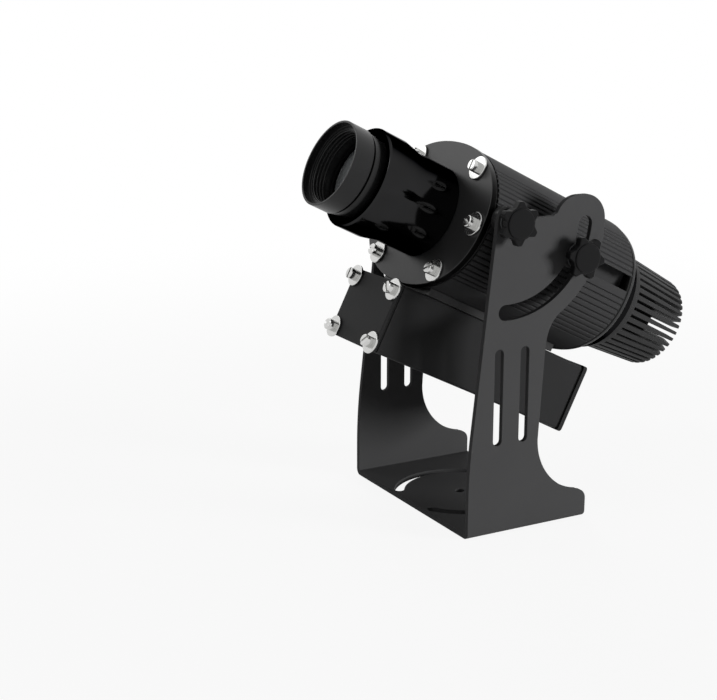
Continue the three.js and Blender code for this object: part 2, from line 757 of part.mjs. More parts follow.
function focusTube() {
  const bore = focusRadius - focusWall;
  const lensPocket = bore + fitGap;
  const hoodRadius = focusRadius + hoodRise;
  const hoodStep = hoodFront - hoodDepth;
  return solid(turned([
    [bore - lensRingWidth, focusRear], [focusRadius, focusRear], [focusRadius, hoodRear],
    [hoodRadius - hoodWall / 2, hoodRear], [hoodRadius, hoodRear + hoodWall / 2], [hoodRadius, hoodFront],
    [hoodRadius - hoodWall, hoodFront], [hoodRadius - hoodWall, hoodStep], [lensPocket, hoodStep],
    [lensPocket, frontLensSeat], [bore - lensRingWidth, frontLensSeat],
  ], largeSides));
}

function opticsSleeve() {
  const front = frontPlateBack - fitGap;
  const flangeBack = front - sleeveFlangeThickness;
  const flangeRoom = tubeHalfHeight - tubeWall - sleeveRadius;
  const flangeRadius = sleeveRadius + flangeRoom * sleeveFlangeShare;
  const rear = lampFace + sleeveRearGap;
  return solid(turned([
    [sleeveRadius - sleeveWall, rear], [sleeveRadius, rear], [sleeveRadius, flangeBack],
    [flangeRadius, flangeBack], [flangeRadius, front], [sleeveRadius - sleeveWall, front],
  ], mediumSides));
}

// Cup ring that carries the pattern disc against a window
function goboHolder() {
  const rear = goboHolderFront - goboHolderLength;
  const pocket = goboHolderFront - goboHolderLength / 2;
  return solid(turned([
    [goboWindowRadius, rear], [sleeveBore, rear],
    [sleeveBore, goboHolderFront], [goboRadius + fitGap, goboHolderFront],
    [goboRadius + fitGap, pocket], [goboWindowRadius, pocket],
  ], mediumSides));
}

function goboDisc() {
  const rear = goboHolderFront - goboHolderLength / 2 + fitGap;
  const disc = solid(rod(goboRadius, rear, rear + goboThickness, mediumSides));
  const cut = (radius) => rod(radius, rear - overrun, rear + goboThickness + overrun, smallSides);
  const holes = [cut(goboCentreHoleRadius)];
  for (let n = 0; n < goboPatternHoles; n += 1) {
    const angle = (2 * Math.PI * n) / goboPatternHoles;
    holes.push(cut(goboPatternHoleRadius).translate(
      goboPatternRadius * Math.cos(angle), 0, goboPatternRadius * Math.sin(angle),
    ));
  }
  return without(disc, holes.map(solid));
}

function heatSink() {
  const ringFront = neckRear - fitGap;
  const finStart = neckRear - sinkRingLength;
  const finEnd = finStart - finLength;
  const ringRadius = neckRadius - sinkRingStep;
  const finStartRadius = ringRadius - finStartStep;
  const finEndRadius = finStartRadius - finTaper;
  const body = solid(turned([
    [0, lampFace], [coreRadius, lampFace], [coreRadius, ringFront], [ringRadius, ringFront],
    [ringRadius, finStart + finSlotWidth], [finStartRadius, finStart],
    [finEndRadius, finEnd + finEndRounding],
    [finEndRadius - finEndRounding * finBulgeShare, finEnd + finEndRounding * finBulgeShare],
    [finEndRadius - finEndRounding, finEnd], [0, finEnd],
  ], finCount));
  const plan = new THREE.Shape();
  plan.moveTo(-finSlotWidth / 2, -finStart);
  plan.lineTo(finSlotWidth / 2, -finStart);
  plan.lineTo(finSlotEndWidth / 2, -finEnd + overrun);
  plan.lineTo(-finSlotEndWidth / 2, -finEnd + overrun);
  const slot = prism(plan, finStartRadius - finRootRadius + overrun).translate(0, 0, finRootRadius);
  const cutters = [
    rod(finRootRadius + sinkHollowClearance, finEnd - overrun, finEnd + sinkHollowDepth, finCount),
  ];
  for (let n = 0; n < finCount; n += 1) {
    cutters.push(slot.clone().rotateY((2 * Math.PI * n) / finCount));
  }
  return without(body, cutters.map(solid));
}

const saddleScrewReaches = [saddleScrewFront, saddleScrewFront - saddleScrewSpacing];

function saddleScrewHoles(wall) {
  const holes = [];
  for (const reach of saddleScrewReaches) {
    const hole = turnedUp([
      [0, boxTop - boxWall - overrun], [screwRadius + fitGap, boxTop - boxWall - overrun],
      [screwRadius + fitGap, -tubeHalfHeight + wall + fitGap], [0, -tubeHalfHeight + wall + fitGap],
    ], smallSides);
    holes.push(hole.translate(0, -reach, 0));
  }
  return holes;
}

// Screw from inside the box, through the saddle, into the tube's floor
function saddleScrew() {
  const headTop = boxTop - boxWall - fitGap;
  return solid(turnedUp([
    [0, headTop - screwHeadHeight / 2], [screwHeadRadius, headTop - screwHeadHeight / 2],
    [screwHeadRadius, headTop], [screwRadius, headTop],
    [screwRadius, -tubeHalfHeight + tubeWall], [0, -tubeHalfHeight + tubeWall],
  ], smallSides));
}

function saddle() {
  const bar = solid(block(
    -boxHalfWidth, boxHalfWidth, tubeRear + saddleRearInset, tubeFront - saddleFrontInset,
    boxTop + fitGap, -tubeHalfHeight + saddleWrap,
  ));
  const tube = prismAlong(
    ovalShape(tubeHalfWidth + fitGap, tubeHalfHeight + fitGap), tubeRear, tubeFront,
  );
  return without(bar, [tube, ...saddleScrewHoles(tubeWall)].map(solid));
}

function driverBox() {
  const outer = roundedRectangle(boxHalfWidth, boxBottom, boxTop, boxCornerRadius);
  const inner = roundedRectangle(
    boxHalfWidth - boxWall, boxBottom + boxWall, boxTop - boxWall, boxCornerRadius,
  );
  const shell = solid(prismAlong(outer, boxRear, boxFront)).subtract(
    solid(prismAlong(inner, boxRear - overrun, boxFront + overrun)),
  );
  const added = [];
  const cutters = saddleScrewHoles(tubeWall);
  for (const [x, z] of boxScrewPlaces) {
    added.push(rod(boxScrewBoss, boxRear, boxFront, smallSides).translate(x, 0, z));
    const pilot = rod(boxScrewRadius + fitGap, boxRear - overrun, boxFront + overrun, smallSides);
    cutters.push(pilot.translate(x, 0, z));
  }
  const floor = boxBottom + boxWall;
  const railMiddle = boardHalfWidth - boxScrewBoss * 2;
  for (const x of [-railMiddle, railMiddle]) {
    added.push(block(
      x - boardRailWidth / 2, x + boardRailWidth / 2, boxRear, boxFront,
      floor - boxWall / 2, floor + boardRailHeight,
    ));
  }
  return without(united([shell, ...added.map(solid)]), cutters.map(solid));
}

function boxPlate(rear, front, lip, holes) {
  const shape = roundedRectangle(boxHalfWidth + lip, boxBottom - lip, boxTop + lip, boxCornerRadius);
  const cutters = boxScrewPlaces.map(([x, z]) => (
    rod(boxScrewRadius + fitGap, rear - overrun, front + overrun, smallSides).translate(x, 0, z)));
  return without(solid(prismAlong(shape, rear, front)), [...cutters, ...holes].map(solid));
}

function boxGasket(rear) {
  const front = rear + boxGasketThickness;
  const ring = (inset) => roundedRectangle(
    boxHalfWidth - inset, boxBottom + inset, boxTop - inset, boxCornerRadius,
  );
  const opening = prismAlong(ring(boxGasketInset + boxGasketWidth), rear - overrun, front + overrun);
  return solid(prismAlong(ring(boxGasketInset), rear, front)).subtract(solid(opening));
}

const boardUnderside = boxBottom + boxWall + boardRailHeight + fitGap;

// Circuit board with its transformer and capacitor
function driverBoard() {
  const top = boardUnderside + boardThickness;
  const halfWidth = boardHalfWidth - boxScrewBoss;
  const halfLength = transformerLength / 2;
  const board = block(
    -halfWidth, halfWidth, boxRear + boardRearInset, boxFront - boardFrontInset, boardUnderside, top,
  );
  const transformer = block(
    -transformerWidth / 2, transformerWidth / 2,
    transformerReach - halfLength, transformerReach + halfLength,
    boardUnderside, top + transformerHeight,
  );
  const capacitor = turnedUp([
    [0, boardUnderside], [capacitorRadius, boardUnderside],
    [capacitorRadius, top + capacitorHeight], [0, top + capacitorHeight],
  ], smallSides).translate(0, -capacitorReach, 0);
  return united([board, transformer, capacitor].map(solid));
}

// Cable gland in the box's rear plate, with an open bore for a lead
function cableGland(plateFront, plateBack) {
  const threadEnd = plateFront + glandThreadLength;
  const collarFace = plateBack - fitGap;
  const domeStart = collarFace - glandCollarLength;
  const gland = turned([
    [glandBoreRadius, domeStart - glandDomeLength], [glandDomeRadius, domeStart - glandDomeLength],
    [glandRadius - glandStep, domeStart], [glandRadius, domeStart], [glandRadius, collarFace],
    [glandThreadRadius, collarFace], [glandThreadRadius, threadEnd], [glandBoreRadius, threadEnd],
  ], washerSides);
  return solid(gland.translate(0, 0, boxTop - glandDrop));
}

// T-nut in the side channel, with a neck that comes out through its lips
function channelNut() {
  const half = nutLength / 2;
  const flangeHalf = channelWidth / 2 - nutLipGap;
  const neckHalf = channelOpening / 2 - nutLipGap;
  const flange = block(
    channelFloor + fitGap, lipInside - fitGap, -half, half, -flangeHalf, flangeHalf,
  );
  const neck = block(
    lipInside - channelDepth / 2, tubeHalfWidth, -neckHalf, neckHalf, -neckHalf, neckHalf,
  );
  const bore = turnedAcross([
    [0, channelFloor - overrun], [studRadius + fitGap, channelFloor - overrun],
    [studRadius + fitGap, tubeHalfWidth + overrun], [0, tubeHalfWidth + overrun],
  ], smallSides);
  return without(united([solid(flange), solid(neck)]), [solid(bore)]);
}

// Spacer between tube and arm; the lock's has a boss that fits the arc slot
function spacer(boss) {
  const inner = tubeHalfWidth + frontPlateLip + fitGap;
  const outer = armInside - fitGap;
  const hole = studRadius + fitGap;
  const points = [[hole, inner], [spacerRadius, inner], [spacerRadius, outer]];
  if (boss) {
    const bossSize = arcSlotWidth / 2 - fitGap;
    points.push([bossSize, outer], [bossSize, armOutside]);
    points.push([hole, armOutside]);
  } else {
    points.push([hole, outer]);
  }
  return solid(turnedAcross(points, washerSides));
}

function knobWasher() {
  const inner = armOutside + fitGap;
  const hole = studRadius + fitGap;
  return solid(turnedAcross([
    [hole, inner], [knobWasherRadius, inner], [knobWasherRadius, inner + washerThickness],
    [hole, inner + washerThickness],
  ], washerSides));
}

const knobBack = armOutside + washerThickness + 2 * fitGap;
const knobStarBack = knobBack + knobHubHeight;
const knobStarFace = knobStarBack + knobStarHeight;
const studEnd = knobStarFace - fitGap;

function knobStarShape() {
  const points = [];
  const at = (radius, degrees) => points.push(new THREE.Vector2(
    radius * Math.cos(radians(degrees)), radius * Math.sin(radians(degrees)),
  ));
  for (let n = 0; n < knobLugs; n += 1) {
    const middle = (360 * n) / knobLugs;
    const valley = middle + 180 / knobLugs;
    at(knobRadius - knobBevel, middle - knobLugHalfDegrees);
    at(knobRadius - knobBevel, middle + knobLugHalfDegrees);
    at(knobValleyRadius - knobBevel, valley - knobValleyHalfDegrees);
    at(knobValleyRadius - knobBevel, valley + knobValleyHalfDegrees);
  }
  return new THREE.Shape(points);
}

// Star knob with its moulded-in steel stud
function starKnob() {
  const star = new THREE.ExtrudeGeometry(knobStarShape(), {
    depth: knobStarHeight - 2 * knobBevel,
    bevelThickness: knobBevel,
    bevelSize: knobBevel,
    bevelSegments: 1,
  });
  star.rotateY(Math.PI / 2).translate(knobStarBack + knobBevel, 0, 0);
  const capFace = knobStarFace + knobCapHeight;
  const hub = turnedAcross([
    [0, knobBack], [knobHubRadius, knobBack], [knobHubRadius, knobStarBack + knobBevel],
    [knobCapRadius, knobStarFace - knobBevel], [knobCapRadius, capFace - knobCapRim],
    [knobCapRadius - knobCapRim, capFace], [0, capFace],
  ], washerSides);
  const studStart = channelFloor + fitGap;
  const stud = turnedAcross([
    [0, studStart], [studRadius, studStart], [studRadius, studEnd], [0, studEnd],
  ], smallSides);
  return united([star, hub, stud].map(solid));
}

// What one side of the tube carries at its two clamping points, the second one
// behind the first along the channel
function clampSide(side) {
  const set = new THREE.Group();
  const sided = (body) => (side === 'right' ? body : solid(mirrored(asGeometry(body))));
  for (const [place, reach] of [['pivot', 0], ['lock', lockReach]]) {
    const point = new THREE.Group();
    point.position.y = reach;
    const give = (kind, body, material) => (
      point.add(piece(`${place}_${kind}_${side}`, sided(body), material)));
    give('nut', channelNut(), steel());
    give('spacer', spacer(place === 'lock'), plateBlack());
    give('washer', knobWasher(), steel());
    give('knob', starKnob(), knobBlack());
    set.add(point);
  }
  return set;
}

const projector = new THREE.Group();
projector.add(piece('yoke_bracket', yokeBracket(), plateBlack()));

// The head turns about the tilt axis, and the lens axis lies below it
const head = new THREE.Group();
head.position.z = tiltAxisHeight;
head.rotation.x = -radians(tiltDegrees);
projector.add(head);
const axis = new THREE.Group();
axis.position.z = -pivotRise;
head.add(axis);

head.add(clampSide('right'));
head.add(clampSide('left'));

axis.add(piece('body_tube', bodyTube(), satinBlack()));
axis.add(piece('front_gasket', ovalGasket(frontGasketBack), rubberBlack()));
axis.add(piece('front_plate', frontPlate(), satinBlack()));
const frontScrewSeat = frontPlateFace + fitGap;
const frontScrewLength = frontScrewSeat - tubeFront + screwLength;
addScrews(
  axis, 'front', plateScrewPlaces, screwRadius, frontScrewLength, plateWasherRadius, frontScrewSeat,
);

// Lenses and what holds them
axis.add(piece('lens_barrel', lensBarrel(), glossBlack()));
const rearLensEdge = barrelLensSeat + fitGap;
axis.add(piece(
  'rear_lens',
  solid(lensGeometry(barrelLensRadius, rearLensEdge, lensEdge, barrelLensThickness, mediumSides)),
  clearGlass(),
));
const rearLensRing = rearLensEdge + lensEdge + fitGap;
axis.add(piece('rear_lens_ring', ringSolid(
  barrelLensRadius, barrelLensRadius - lensRingWidth, rearLensRing, rearLensRing + lensRingThickness,
  mediumSides,
), knobBlack()));
axis.add(piece('focus_tube', focusTube(), glossBlack()));
const frontLensRadius = focusRadius - focusWall;
const frontLensEdge = frontLensSeat + fitGap;
axis.add(piece(
  'front_lens',
  solid(lensGeometry(frontLensRadius, frontLensEdge, lensEdge, frontLensThickness, mediumSides)),
  clearGlass(),
));
const frontLensRing = frontLensEdge + lensEdge + fitGap;
axis.add(piece('front_lens_ring', ringSolid(
  frontLensRadius, frontLensRadius - lensRingWidth, frontLensRing, frontLensRing + lensRingThickness,
  mediumSides,
), knobBlack()));

// Pattern, condenser and lamp inside the tube
axis.add(piece('optics_sleeve', opticsSleeve(), satinBlack()));
axis.add(piece('gobo_holder', goboHolder(), satinBlack()));
axis.add(piece('gobo_disc', goboDisc(), steel()));
const goboRingRear = goboHolderFront - goboHolderLength / 2 + goboThickness + 2 * fitGap;
axis.add(piece('gobo_ring', ringSolid(
  goboRadius, goboRadius - goboRingWidth, goboRingRear, goboRingRear + goboRingThickness, mediumSides,
), steel()));
for (const [name, reach] of [['front', frontCondenserReach], ['rear', rearCondenserReach]]) {
  axis.add(piece(
    `${name}_condenser`,
    solid(lensGeometry(
      sleeveBore - condenserPlay, reach, condenserEdge, condenserThickness, mediumSides,
    )),
    clearGlass(),
  ));
}
axis.add(piece('condenser_spacer', ringSolid(
  sleeveBore, sleeveBore - condenserSpacerWall,
  rearCondenserReach + condenserEdge + fitGap, frontCondenserReach - fitGap, mediumSides,
), satinBlack()));
axis.add(piece('heat_sink', heatSink(), satinBlack()));
const boardRearFace = lampFace + fitGap;
axis.add(piece('lamp_board', solid(rod(
  lampBoardRadius, boardRearFace, boardRearFace + lampBoardThickness, mediumSides,
)), boardWhite()));
const chipRear = boardRearFace + lampBoardThickness + fitGap;
axis.add(piece('lamp_chip', solid(block(
  -lampChipSize / 2, lampChipSize / 2, chipRear, chipRear + lampChipThickness,
  -lampChipSize / 2, lampChipSize / 2,
)), lampYellow()));

// Rear plate and neck
axis.add(piece('rear_gasket', ovalGasket(rearGasketFront - gasketThickness), rubberBlack()));
axis.add(piece('rear_plate', rearPlate(), satinBlack()));
axis.add(piece('neck_ring', ringSolid(
  neckRadius, neckRadius - neckWall, neckRear, rearPlateBack - fitGap, largeSides,
), glossBlack()));

// Driver box
axis.add(piece('saddle', saddle(), satinBlack()));
saddleScrewReaches.forEach((reach, n) => {
  const screw = piece(`saddle_screw_${n + 1}`, saddleScrew(), steel());
  screw.position.y = -reach;
  axis.add(screw);
});
axis.add(piece('driver_box', driverBox(), satinBlack()));
const boxFrontGasket = boxFront + fitGap;
const boxPlateBack = boxFrontGasket + boxGasketThickness + fitGap;
const boxPlateFace = boxPlateBack + boxPlateThickness;
axis.add(piece('driver_front_gasket', boxGasket(boxFrontGasket), rubberBlack()));
axis.add(piece('driver_front_plate', boxPlate(boxPlateBack, boxPlateFace, 0, []), satinBlack()));
const boxScrewSeat = boxPlateFace + fitGap;
const boxScrewLength = boxScrewSeat - boxFront + screwLength;
addScrews(
  axis, 'driver', boxScrewPlaces, boxScrewRadius, boxScrewLength, boxWasherRadius, boxScrewSeat,
);
const boxRearGasket = boxRear - fitGap - boxGasketThickness;
const boxRearPlateFront = boxRearGasket - fitGap;
const boxRearPlateBack = boxRearPlateFront - boxRearPlateThickness;
const glandHole = rod(
  glandThreadRadius + fitGap, boxRearPlateBack - overrun, boxRearPlateFront + overrun, smallSides,
);
axis.add(piece('driver_rear_gasket', boxGasket(boxRearGasket), rubberBlack()));
axis.add(piece('driver_rear_plate', boxPlate(
  boxRearPlateBack, boxRearPlateFront, boxRearPlateLip, [glandHole.translate(0, 0, boxTop - glandDrop)],
), satinBlack()));
axis.add(piece('driver_board', driverBoard(), boardGreen()));
axis.add(piece('cable_gland', cableGland(boxRearPlateFront, boxRearPlateBack), knobBlack()));

export default projector;
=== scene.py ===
import json
import math
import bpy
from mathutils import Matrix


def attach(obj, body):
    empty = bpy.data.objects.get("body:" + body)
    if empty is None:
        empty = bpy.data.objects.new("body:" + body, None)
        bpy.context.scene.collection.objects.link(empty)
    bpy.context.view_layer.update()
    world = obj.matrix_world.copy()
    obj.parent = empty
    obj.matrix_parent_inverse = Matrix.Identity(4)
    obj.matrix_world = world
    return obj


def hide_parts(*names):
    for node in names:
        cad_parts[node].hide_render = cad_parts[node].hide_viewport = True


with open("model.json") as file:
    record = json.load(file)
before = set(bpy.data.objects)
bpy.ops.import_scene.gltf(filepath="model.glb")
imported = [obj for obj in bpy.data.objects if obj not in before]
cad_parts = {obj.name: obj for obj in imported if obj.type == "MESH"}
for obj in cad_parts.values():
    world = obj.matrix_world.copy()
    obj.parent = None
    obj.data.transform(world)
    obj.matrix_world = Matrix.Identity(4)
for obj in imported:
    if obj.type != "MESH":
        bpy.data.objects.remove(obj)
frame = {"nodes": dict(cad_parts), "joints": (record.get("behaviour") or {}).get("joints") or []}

from types import SimpleNamespace

import bmesh
import bpy
from bpy.props import FloatProperty, FloatVectorProperty, PointerProperty
from bpy.types import Operator, Panel, PropertyGroup
from mathutils import Matrix, Vector

bl_info = {
    "name": "Gobo projector on a yoke",
    "version": (1, 0, 0),
    "blender": (4, 5, 0),
    "location": "3D View > Sidebar > Projector",
    "description": "Models and dresses a gobo projector around its packed frame",
    "category": "Object",
}

MM = 0.001
FULL_TURN = 2 * math.pi

# Where the head is: its joints say how it is tilted and where it turns
JOINTS = {joint["name"]: joint for joint in frame["joints"]}
TILT_AXIS = Vector(JOINTS["head_tilt"]["pos_m"])
LENS_WAY = JOINTS["focus_slide"]["axis"]
TILT = math.asin(LENS_WAY[2])
LENS_AXIS_DROP = 9.8  # lens axis below the tilt axis
PIVOT = Matrix.Translation(TILT_AXIS) @ Matrix.Rotation(-TILT, 4, "X")
HEAD = PIVOT @ Matrix.Translation((0, 0, -LENS_AXIS_DROP * MM))

# Places along the lens axis from the tilt axis, in millimetres
FRONT_FACE = 12
REAR_FACE = -122.9
NECK_REAR = -149
BOX_FRONT = 27.6
BOX_REAR = -143.9

# The driver box's outline from the lens axis, and sizes that several pieces share
BOX_HALF = 29.7
BOX_TOP = -52.5
BOX_BOTTOM = -100.3
GAP = 0.3  # between the faces of two pieces
STUD_BORE = 3.3
FINGERS = 40
OVAL_POWER = 2.2  # an ellipse has 2

# The ends of the arc slot, in degrees about the tilt axis
ARC_SLOT_LOW = -92
ARC_SLOT_TOP = -5.9

# Across and up from the lens axis
PLATE_SCREWS = [(58, 0), (-58, 0), (37, 36), (-37, 36), (37, -36), (-37, -36)]
BOX_SCREWS = [(25.5, -57.7), (-25.5, -57.7), (25.5, -95.1), (-25.5, -95.1)]


def length(name, description, millimetres):
    """A size of the object as a property in metres"""
    return FloatProperty(
        name=name, description=description, default=millimetres * MM, min=0, unit="LENGTH",
    )


def paint(name, description, *colour):
    """A finish's colour as a property"""
    return FloatVectorProperty(
        name=name, description=description, default=colour, subtype="COLOR", min=0, max=1,
    )


def sizes(kind):
    """The sizes of one property group as plain numbers in millimetres"""
    group = getattr(bpy.context.scene, f"projector_{kind}")
    names = group.__class__.__annotations__
    return SimpleNamespace(**{name: getattr(group, name) / MM for name in names})


class YokeSizes(PropertyGroup):
    """Sizes of the bent plate yoke"""

    width: length("Width", "From the outside of one arm to the outside of the other", 152)
    plate: length("Plate", "Thickness of the bent plate", 3.5)
    front: length("Front", "Base in front of the tilt axis", 27.7)
    rear: length("Rear", "Base behind the tilt axis", 67.5)
    bend: length("Bend", "Inner radius of the two bends", 1)
    slot_width: length("Arc slot width", "Width of the slot that the lock knob runs in", 10.4)
    slot_radius: length("Arc slot radius", "Middle of the arc slot from the tilt axis", 59)
    slot_margin: length("Arc slot margin", "Arc slot to the rear edge of the arm", 11.4)
    arm_slot: length("Upright slot width", "Width of the two upright slots", 6.6)
    waist: length("Waist", "Narrowest place of the arm behind the tilt axis", 26.4)
    foot: length("Foot", "Height of the arm's foot behind the waist", 20.5)
    base_slot: length("Base slot width", "Width of the two curved slots in the base", 7)
    base_slot_radius: length("Base slot radius", "Middle of a curved slot from the hole", 43.2)
    base_hole: length("Base hole", "Radius of the hole in the base", 3.3)
    base_hole_reach: length("Base hole place", "Hole behind the tilt axis", 14.6)
    edge: length("Edge", "Softened edge of the cut plate", 0.35)


class HeadSizes(PropertyGroup):
    """Sizes of the oval tube and what closes it"""

    half_width: length("Half width", "Middle of the tube to its side", 66.5)
    half_height: length("Half height", "Middle of the tube to its top", 50.5)
    wall: length("Wall", "Thickness of the tube's wall", 3.5)
    rib_pitch: length("Rib pitch", "One rib and one groove", 4)
    rib_groove: length("Rib groove", "Width of a groove between two ribs", 1.5)
    rib_depth: length("Rib depth", "Depth of a groove between two ribs", 1.1)
    edge: length("Edge", "Softened edge of the end plates", 0.5)


class OpticsSizes(PropertyGroup):
    """Sizes of the lens barrel and the focusing tube"""

    barrel: length("Barrel radius", "Outside of the barrel behind its collar", 32)
    collar: length("Collar radius", "Outside of the barrel's collar", 34.6)
    focus: length("Focus radius", "Outside of the sliding tube", 27.2)
    band: length("Band radius", "Grip band behind the hood", 28.4)
    hood: length("Hood radius", "Outside of the hood", 29.4)


class SinkSizes(PropertyGroup):
    """Sizes of the heat sink"""

    root: length("Root radius", "Bottom of the slots between the fingers", 22)
    start: length("Start radius", "Outside of the fingers at the ring", 36.6)
    end: length("End radius", "Outside of the fingers at their ends", 33.4)
    slot: length("Slot", "Width of a slot", 2.1)
    slot_end: length("Slot end", "Width of a slot at the fingers' ends", 2.9)


class KnobSizes(PropertyGroup):
    """Sizes of a star knob"""

    lug: length("Lug radius", "Tip of a lug from the middle", 14.2)
    valley: length("Valley radius", "Hollow between two lugs from the middle", 10.8)
    cap: length("Cap radius", "Outside of the round cap", 9.7)
    height: length("Star height", "Thickness of the star", 5.6)


class Colours(PropertyGroup):
    """Colours of the finishes"""

    yoke: paint("Yoke", "Powder coat of the yoke", 0.064, 0.064, 0.065)
    tube: paint("Tube", "Anodised oval tube", 0.05, 0.05, 0.051)
    satin: paint("Satin black", "Anodised plates and box", 0.026, 0.026, 0.0265)
    gloss: paint("Gloss black", "Polished black of the barrel", 0.023, 0.023, 0.0235)
    # painted shade: the neck's gloss black is darker than the barrel's
    neck: paint("Neck", "Polished black of the neck", 0.009, 0.009, 0.0095)
    hood: paint("Hood", "Anodised hood and focusing tube", 0.01, 0.01, 0.0103)
    sink: paint("Heat sink", "Anodised fingers", 0.034, 0.034, 0.0345)
    knob: paint("Knob", "Moulded plastic of the knobs", 0.004, 0.004, 0.0043)
    nickel: paint("Nickel", "Plated screws and washers", 0.6, 0.6, 0.59)
    steel: paint("Steel", "Studs, nuts and knob washers", 0.07, 0.071, 0.073)
    rubber: paint("Rubber", "Gaskets", 0.012, 0.012, 0.012)
    mask: paint("Solder mask", "Driver board", 0.02, 0.12, 0.05)
    lamp_board: paint("Lamp board", "Board that carries the lamp", 0.78, 0.78, 0.74)
    phosphor: paint("Phosphor", "Face of the lamp", 0.8, 0.58, 0.07)


# Modelling, in millimetres


def select_only(*pieces):
    """Selects these pieces and makes the first one active"""
    bpy.ops.object.select_all(action="DESELECT")
    for piece in pieces:
        piece.select_set(True)
    bpy.context.view_layer.objects.active = pieces[0]


def drawn(name, points, closed=True):
    """A line through points, drawn by extruding one vertex; it stays in edit mode"""
    path = [Vector(point) * MM for point in points]
    bpy.ops.object.select_all(action="DESELECT")
    bpy.ops.mesh.primitive_plane_add(size=MM, enter_editmode=True)
    bpy.ops.mesh.select_mode(type="VERT")
    bpy.ops.mesh.select_all(action="SELECT")
    bpy.ops.mesh.merge(type="CENTER")
    bpy.ops.transform.translate(value=path[0])
    for here, there in zip(path, path[1:]):
        bpy.ops.mesh.extrude_region_move(TRANSFORM_OT_translate={"value": there - here})
    piece = bpy.context.object
    piece.name = name
    if closed:
        pick(piece, lambda vertex: vertex.index in (0, len(path) - 1))
        bpy.ops.mesh.edge_face_add()
    bpy.ops.mesh.select_all(action="SELECT")
    return piece


def pick(piece, wanted):
    """Selects the vertices that are wanted, in edit mode"""
    mesh = bmesh.from_edit_mesh(piece.data)
    mesh.verts.index_update()
    for vertex in mesh.verts:
        vertex.select_set(wanted(vertex))
    mesh.select_flush_mode()
    bmesh.update_edit_mesh(piece.data)


def close_up():
    """Merges what meets, turns all faces outwards and leaves edit mode"""
    meeting = MM / 500
    bpy.ops.mesh.select_all(action="SELECT")
    bpy.ops.mesh.remove_doubles(threshold=meeting)
    bpy.ops.mesh.normals_make_consistent(inside=False)
    bpy.ops.object.mode_set(mode="OBJECT")


def along(point, reach):
    """A point of an outline at a place along the lens axis"""
    return (point[0], -reach, point[1])


def across(point, x):
    """A point of an outline at a place across the yoke"""
    return (x, point[0], point[1])


def upright(point, z):
    """A point of an outline at a height"""
    return (point[0], point[1], z)


def thick(name, outline, way, start, end):
    """A flat outline with a thickness, from start to end along a way"""
    piece = drawn(name, [way(point, start) for point in outline])
    bpy.ops.mesh.edge_face_add()
    step = Vector(way((0, 0), end)) - Vector(way((0, 0), start))
    bpy.ops.mesh.extrude_region_move(TRANSFORM_OT_translate={"value": step * MM})
    close_up()
    return piece


def turned(name, profile, steps, way=along):
    """A round piece spun from points of radius and place along its axis"""
    axis = Vector(way((0, 0), 1))
    if way is along:
        points = [(radius, -place, 0) for radius, place in profile]
    else:
        points = [(place, 0, radius) for radius, place in profile]
    closed = profile[0][0] > 0 or profile[-1][0] > 0
    piece = drawn(name, points, closed)
    bpy.ops.mesh.spin(steps=steps, angle=FULL_TURN, center=(0, 0, 0), axis=axis)
    close_up()
    return piece


def ring(name, bore, radius, start, end, steps, way=along):
    """A plain ring or short tube between two places on its axis"""
    return turned(name, [(bore, start), (radius, start), (radius, end), (bore, end)], steps, way)


def finish_modifier(piece, kind, **settings):
    """Adds a modifier with its settings and applies it"""
    select_only(piece)
    bpy.ops.object.modifier_add(type=kind)
    modifier = piece.modifiers[-1]
    for name, value in settings.items():
        setattr(modifier, name, value)
    bpy.ops.object.modifier_apply(modifier=modifier.name)


def cut(piece, cutter, operation="DIFFERENCE"):
    """Cuts a piece with another, which is used up"""
    finish_modifier(piece, "BOOLEAN", operation=operation, object=cutter, solver="EXACT")
    bpy.data.objects.remove(cutter)


def joined(pieces):
    """Several pieces as one object, under the first one's name"""
    select_only(*pieces)
    bpy.ops.object.join()
    return pieces[0]


def copied(piece, name, place):
    """A copy with its own mesh, put in its place"""
    select_only(piece)
    bpy.ops.object.duplicate()
    copy = bpy.context.object
    copy.name = name
    settle(copy, place)
    return copy


def settle(piece, place):
    """Puts a piece in its place and leaves its object at the origin"""
    select_only(piece)
    piece.matrix_world = place
    bpy.ops.object.transform_apply(location=True, rotation=True, scale=True)
    if place.determinant() < 0:
        bpy.ops.object.mode_set(mode="EDIT")
        close_up()


def moved(x, reach, z=0):
    """A move across, along the lens axis and up, in millimetres"""
    return Matrix.Translation((x * MM, -reach * MM, z * MM))


def soften(piece, edge, steps=2):
    """Rounds the sharp edges and keeps large faces flat in their shading; edge 0 only shades"""
    bevelled_from = math.radians(32)
    shaded_from = math.radians(30)
    select_only(piece)
    if edge:
        finish_modifier(
            piece, "BEVEL", width=edge * MM, segments=steps, limit_method="ANGLE",
            angle_limit=bevelled_from,
        )
        bpy.ops.object.shade_smooth()
        finish_modifier(piece, "WEIGHTED_NORMAL", weight=50)
    else:
        bpy.ops.object.shade_smooth_by_angle(angle=shaded_from)


def coat(piece, finish):
    """Gives a piece one of the finishes"""
    piece.data.materials.clear()
    piece.data.materials.append(finishes()[finish])


def dress(piece, finish, body, slot, *nodes):
    """Gives a piece its finish and its body, and hides the nodes it stands for"""
    coat(piece, finish)
    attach(piece, body)
    if nodes:
        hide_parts(*nodes)


def mount(piece, finish, slot, node, body="head"):
    """Puts a piece that lies along the lens axis in its place and dresses it"""
    settle(piece, HEAD)
    dress(piece, finish, body, slot, node)


# Outlines


def arc(centre, radius, start, end, steps):
    """Points on an arc between two angles in degrees"""
    points = []
    for n in range(steps + 1):
        angle = math.radians(start + (end - start) * n / steps)
        points.append((centre[0] + radius * math.cos(angle), centre[1] + radius * math.sin(angle)))
    return points


def circle(centre, radius, count):
    """Count points around a circle"""
    return arc(centre, radius, 0, 360 - 360 / count, count - 1)


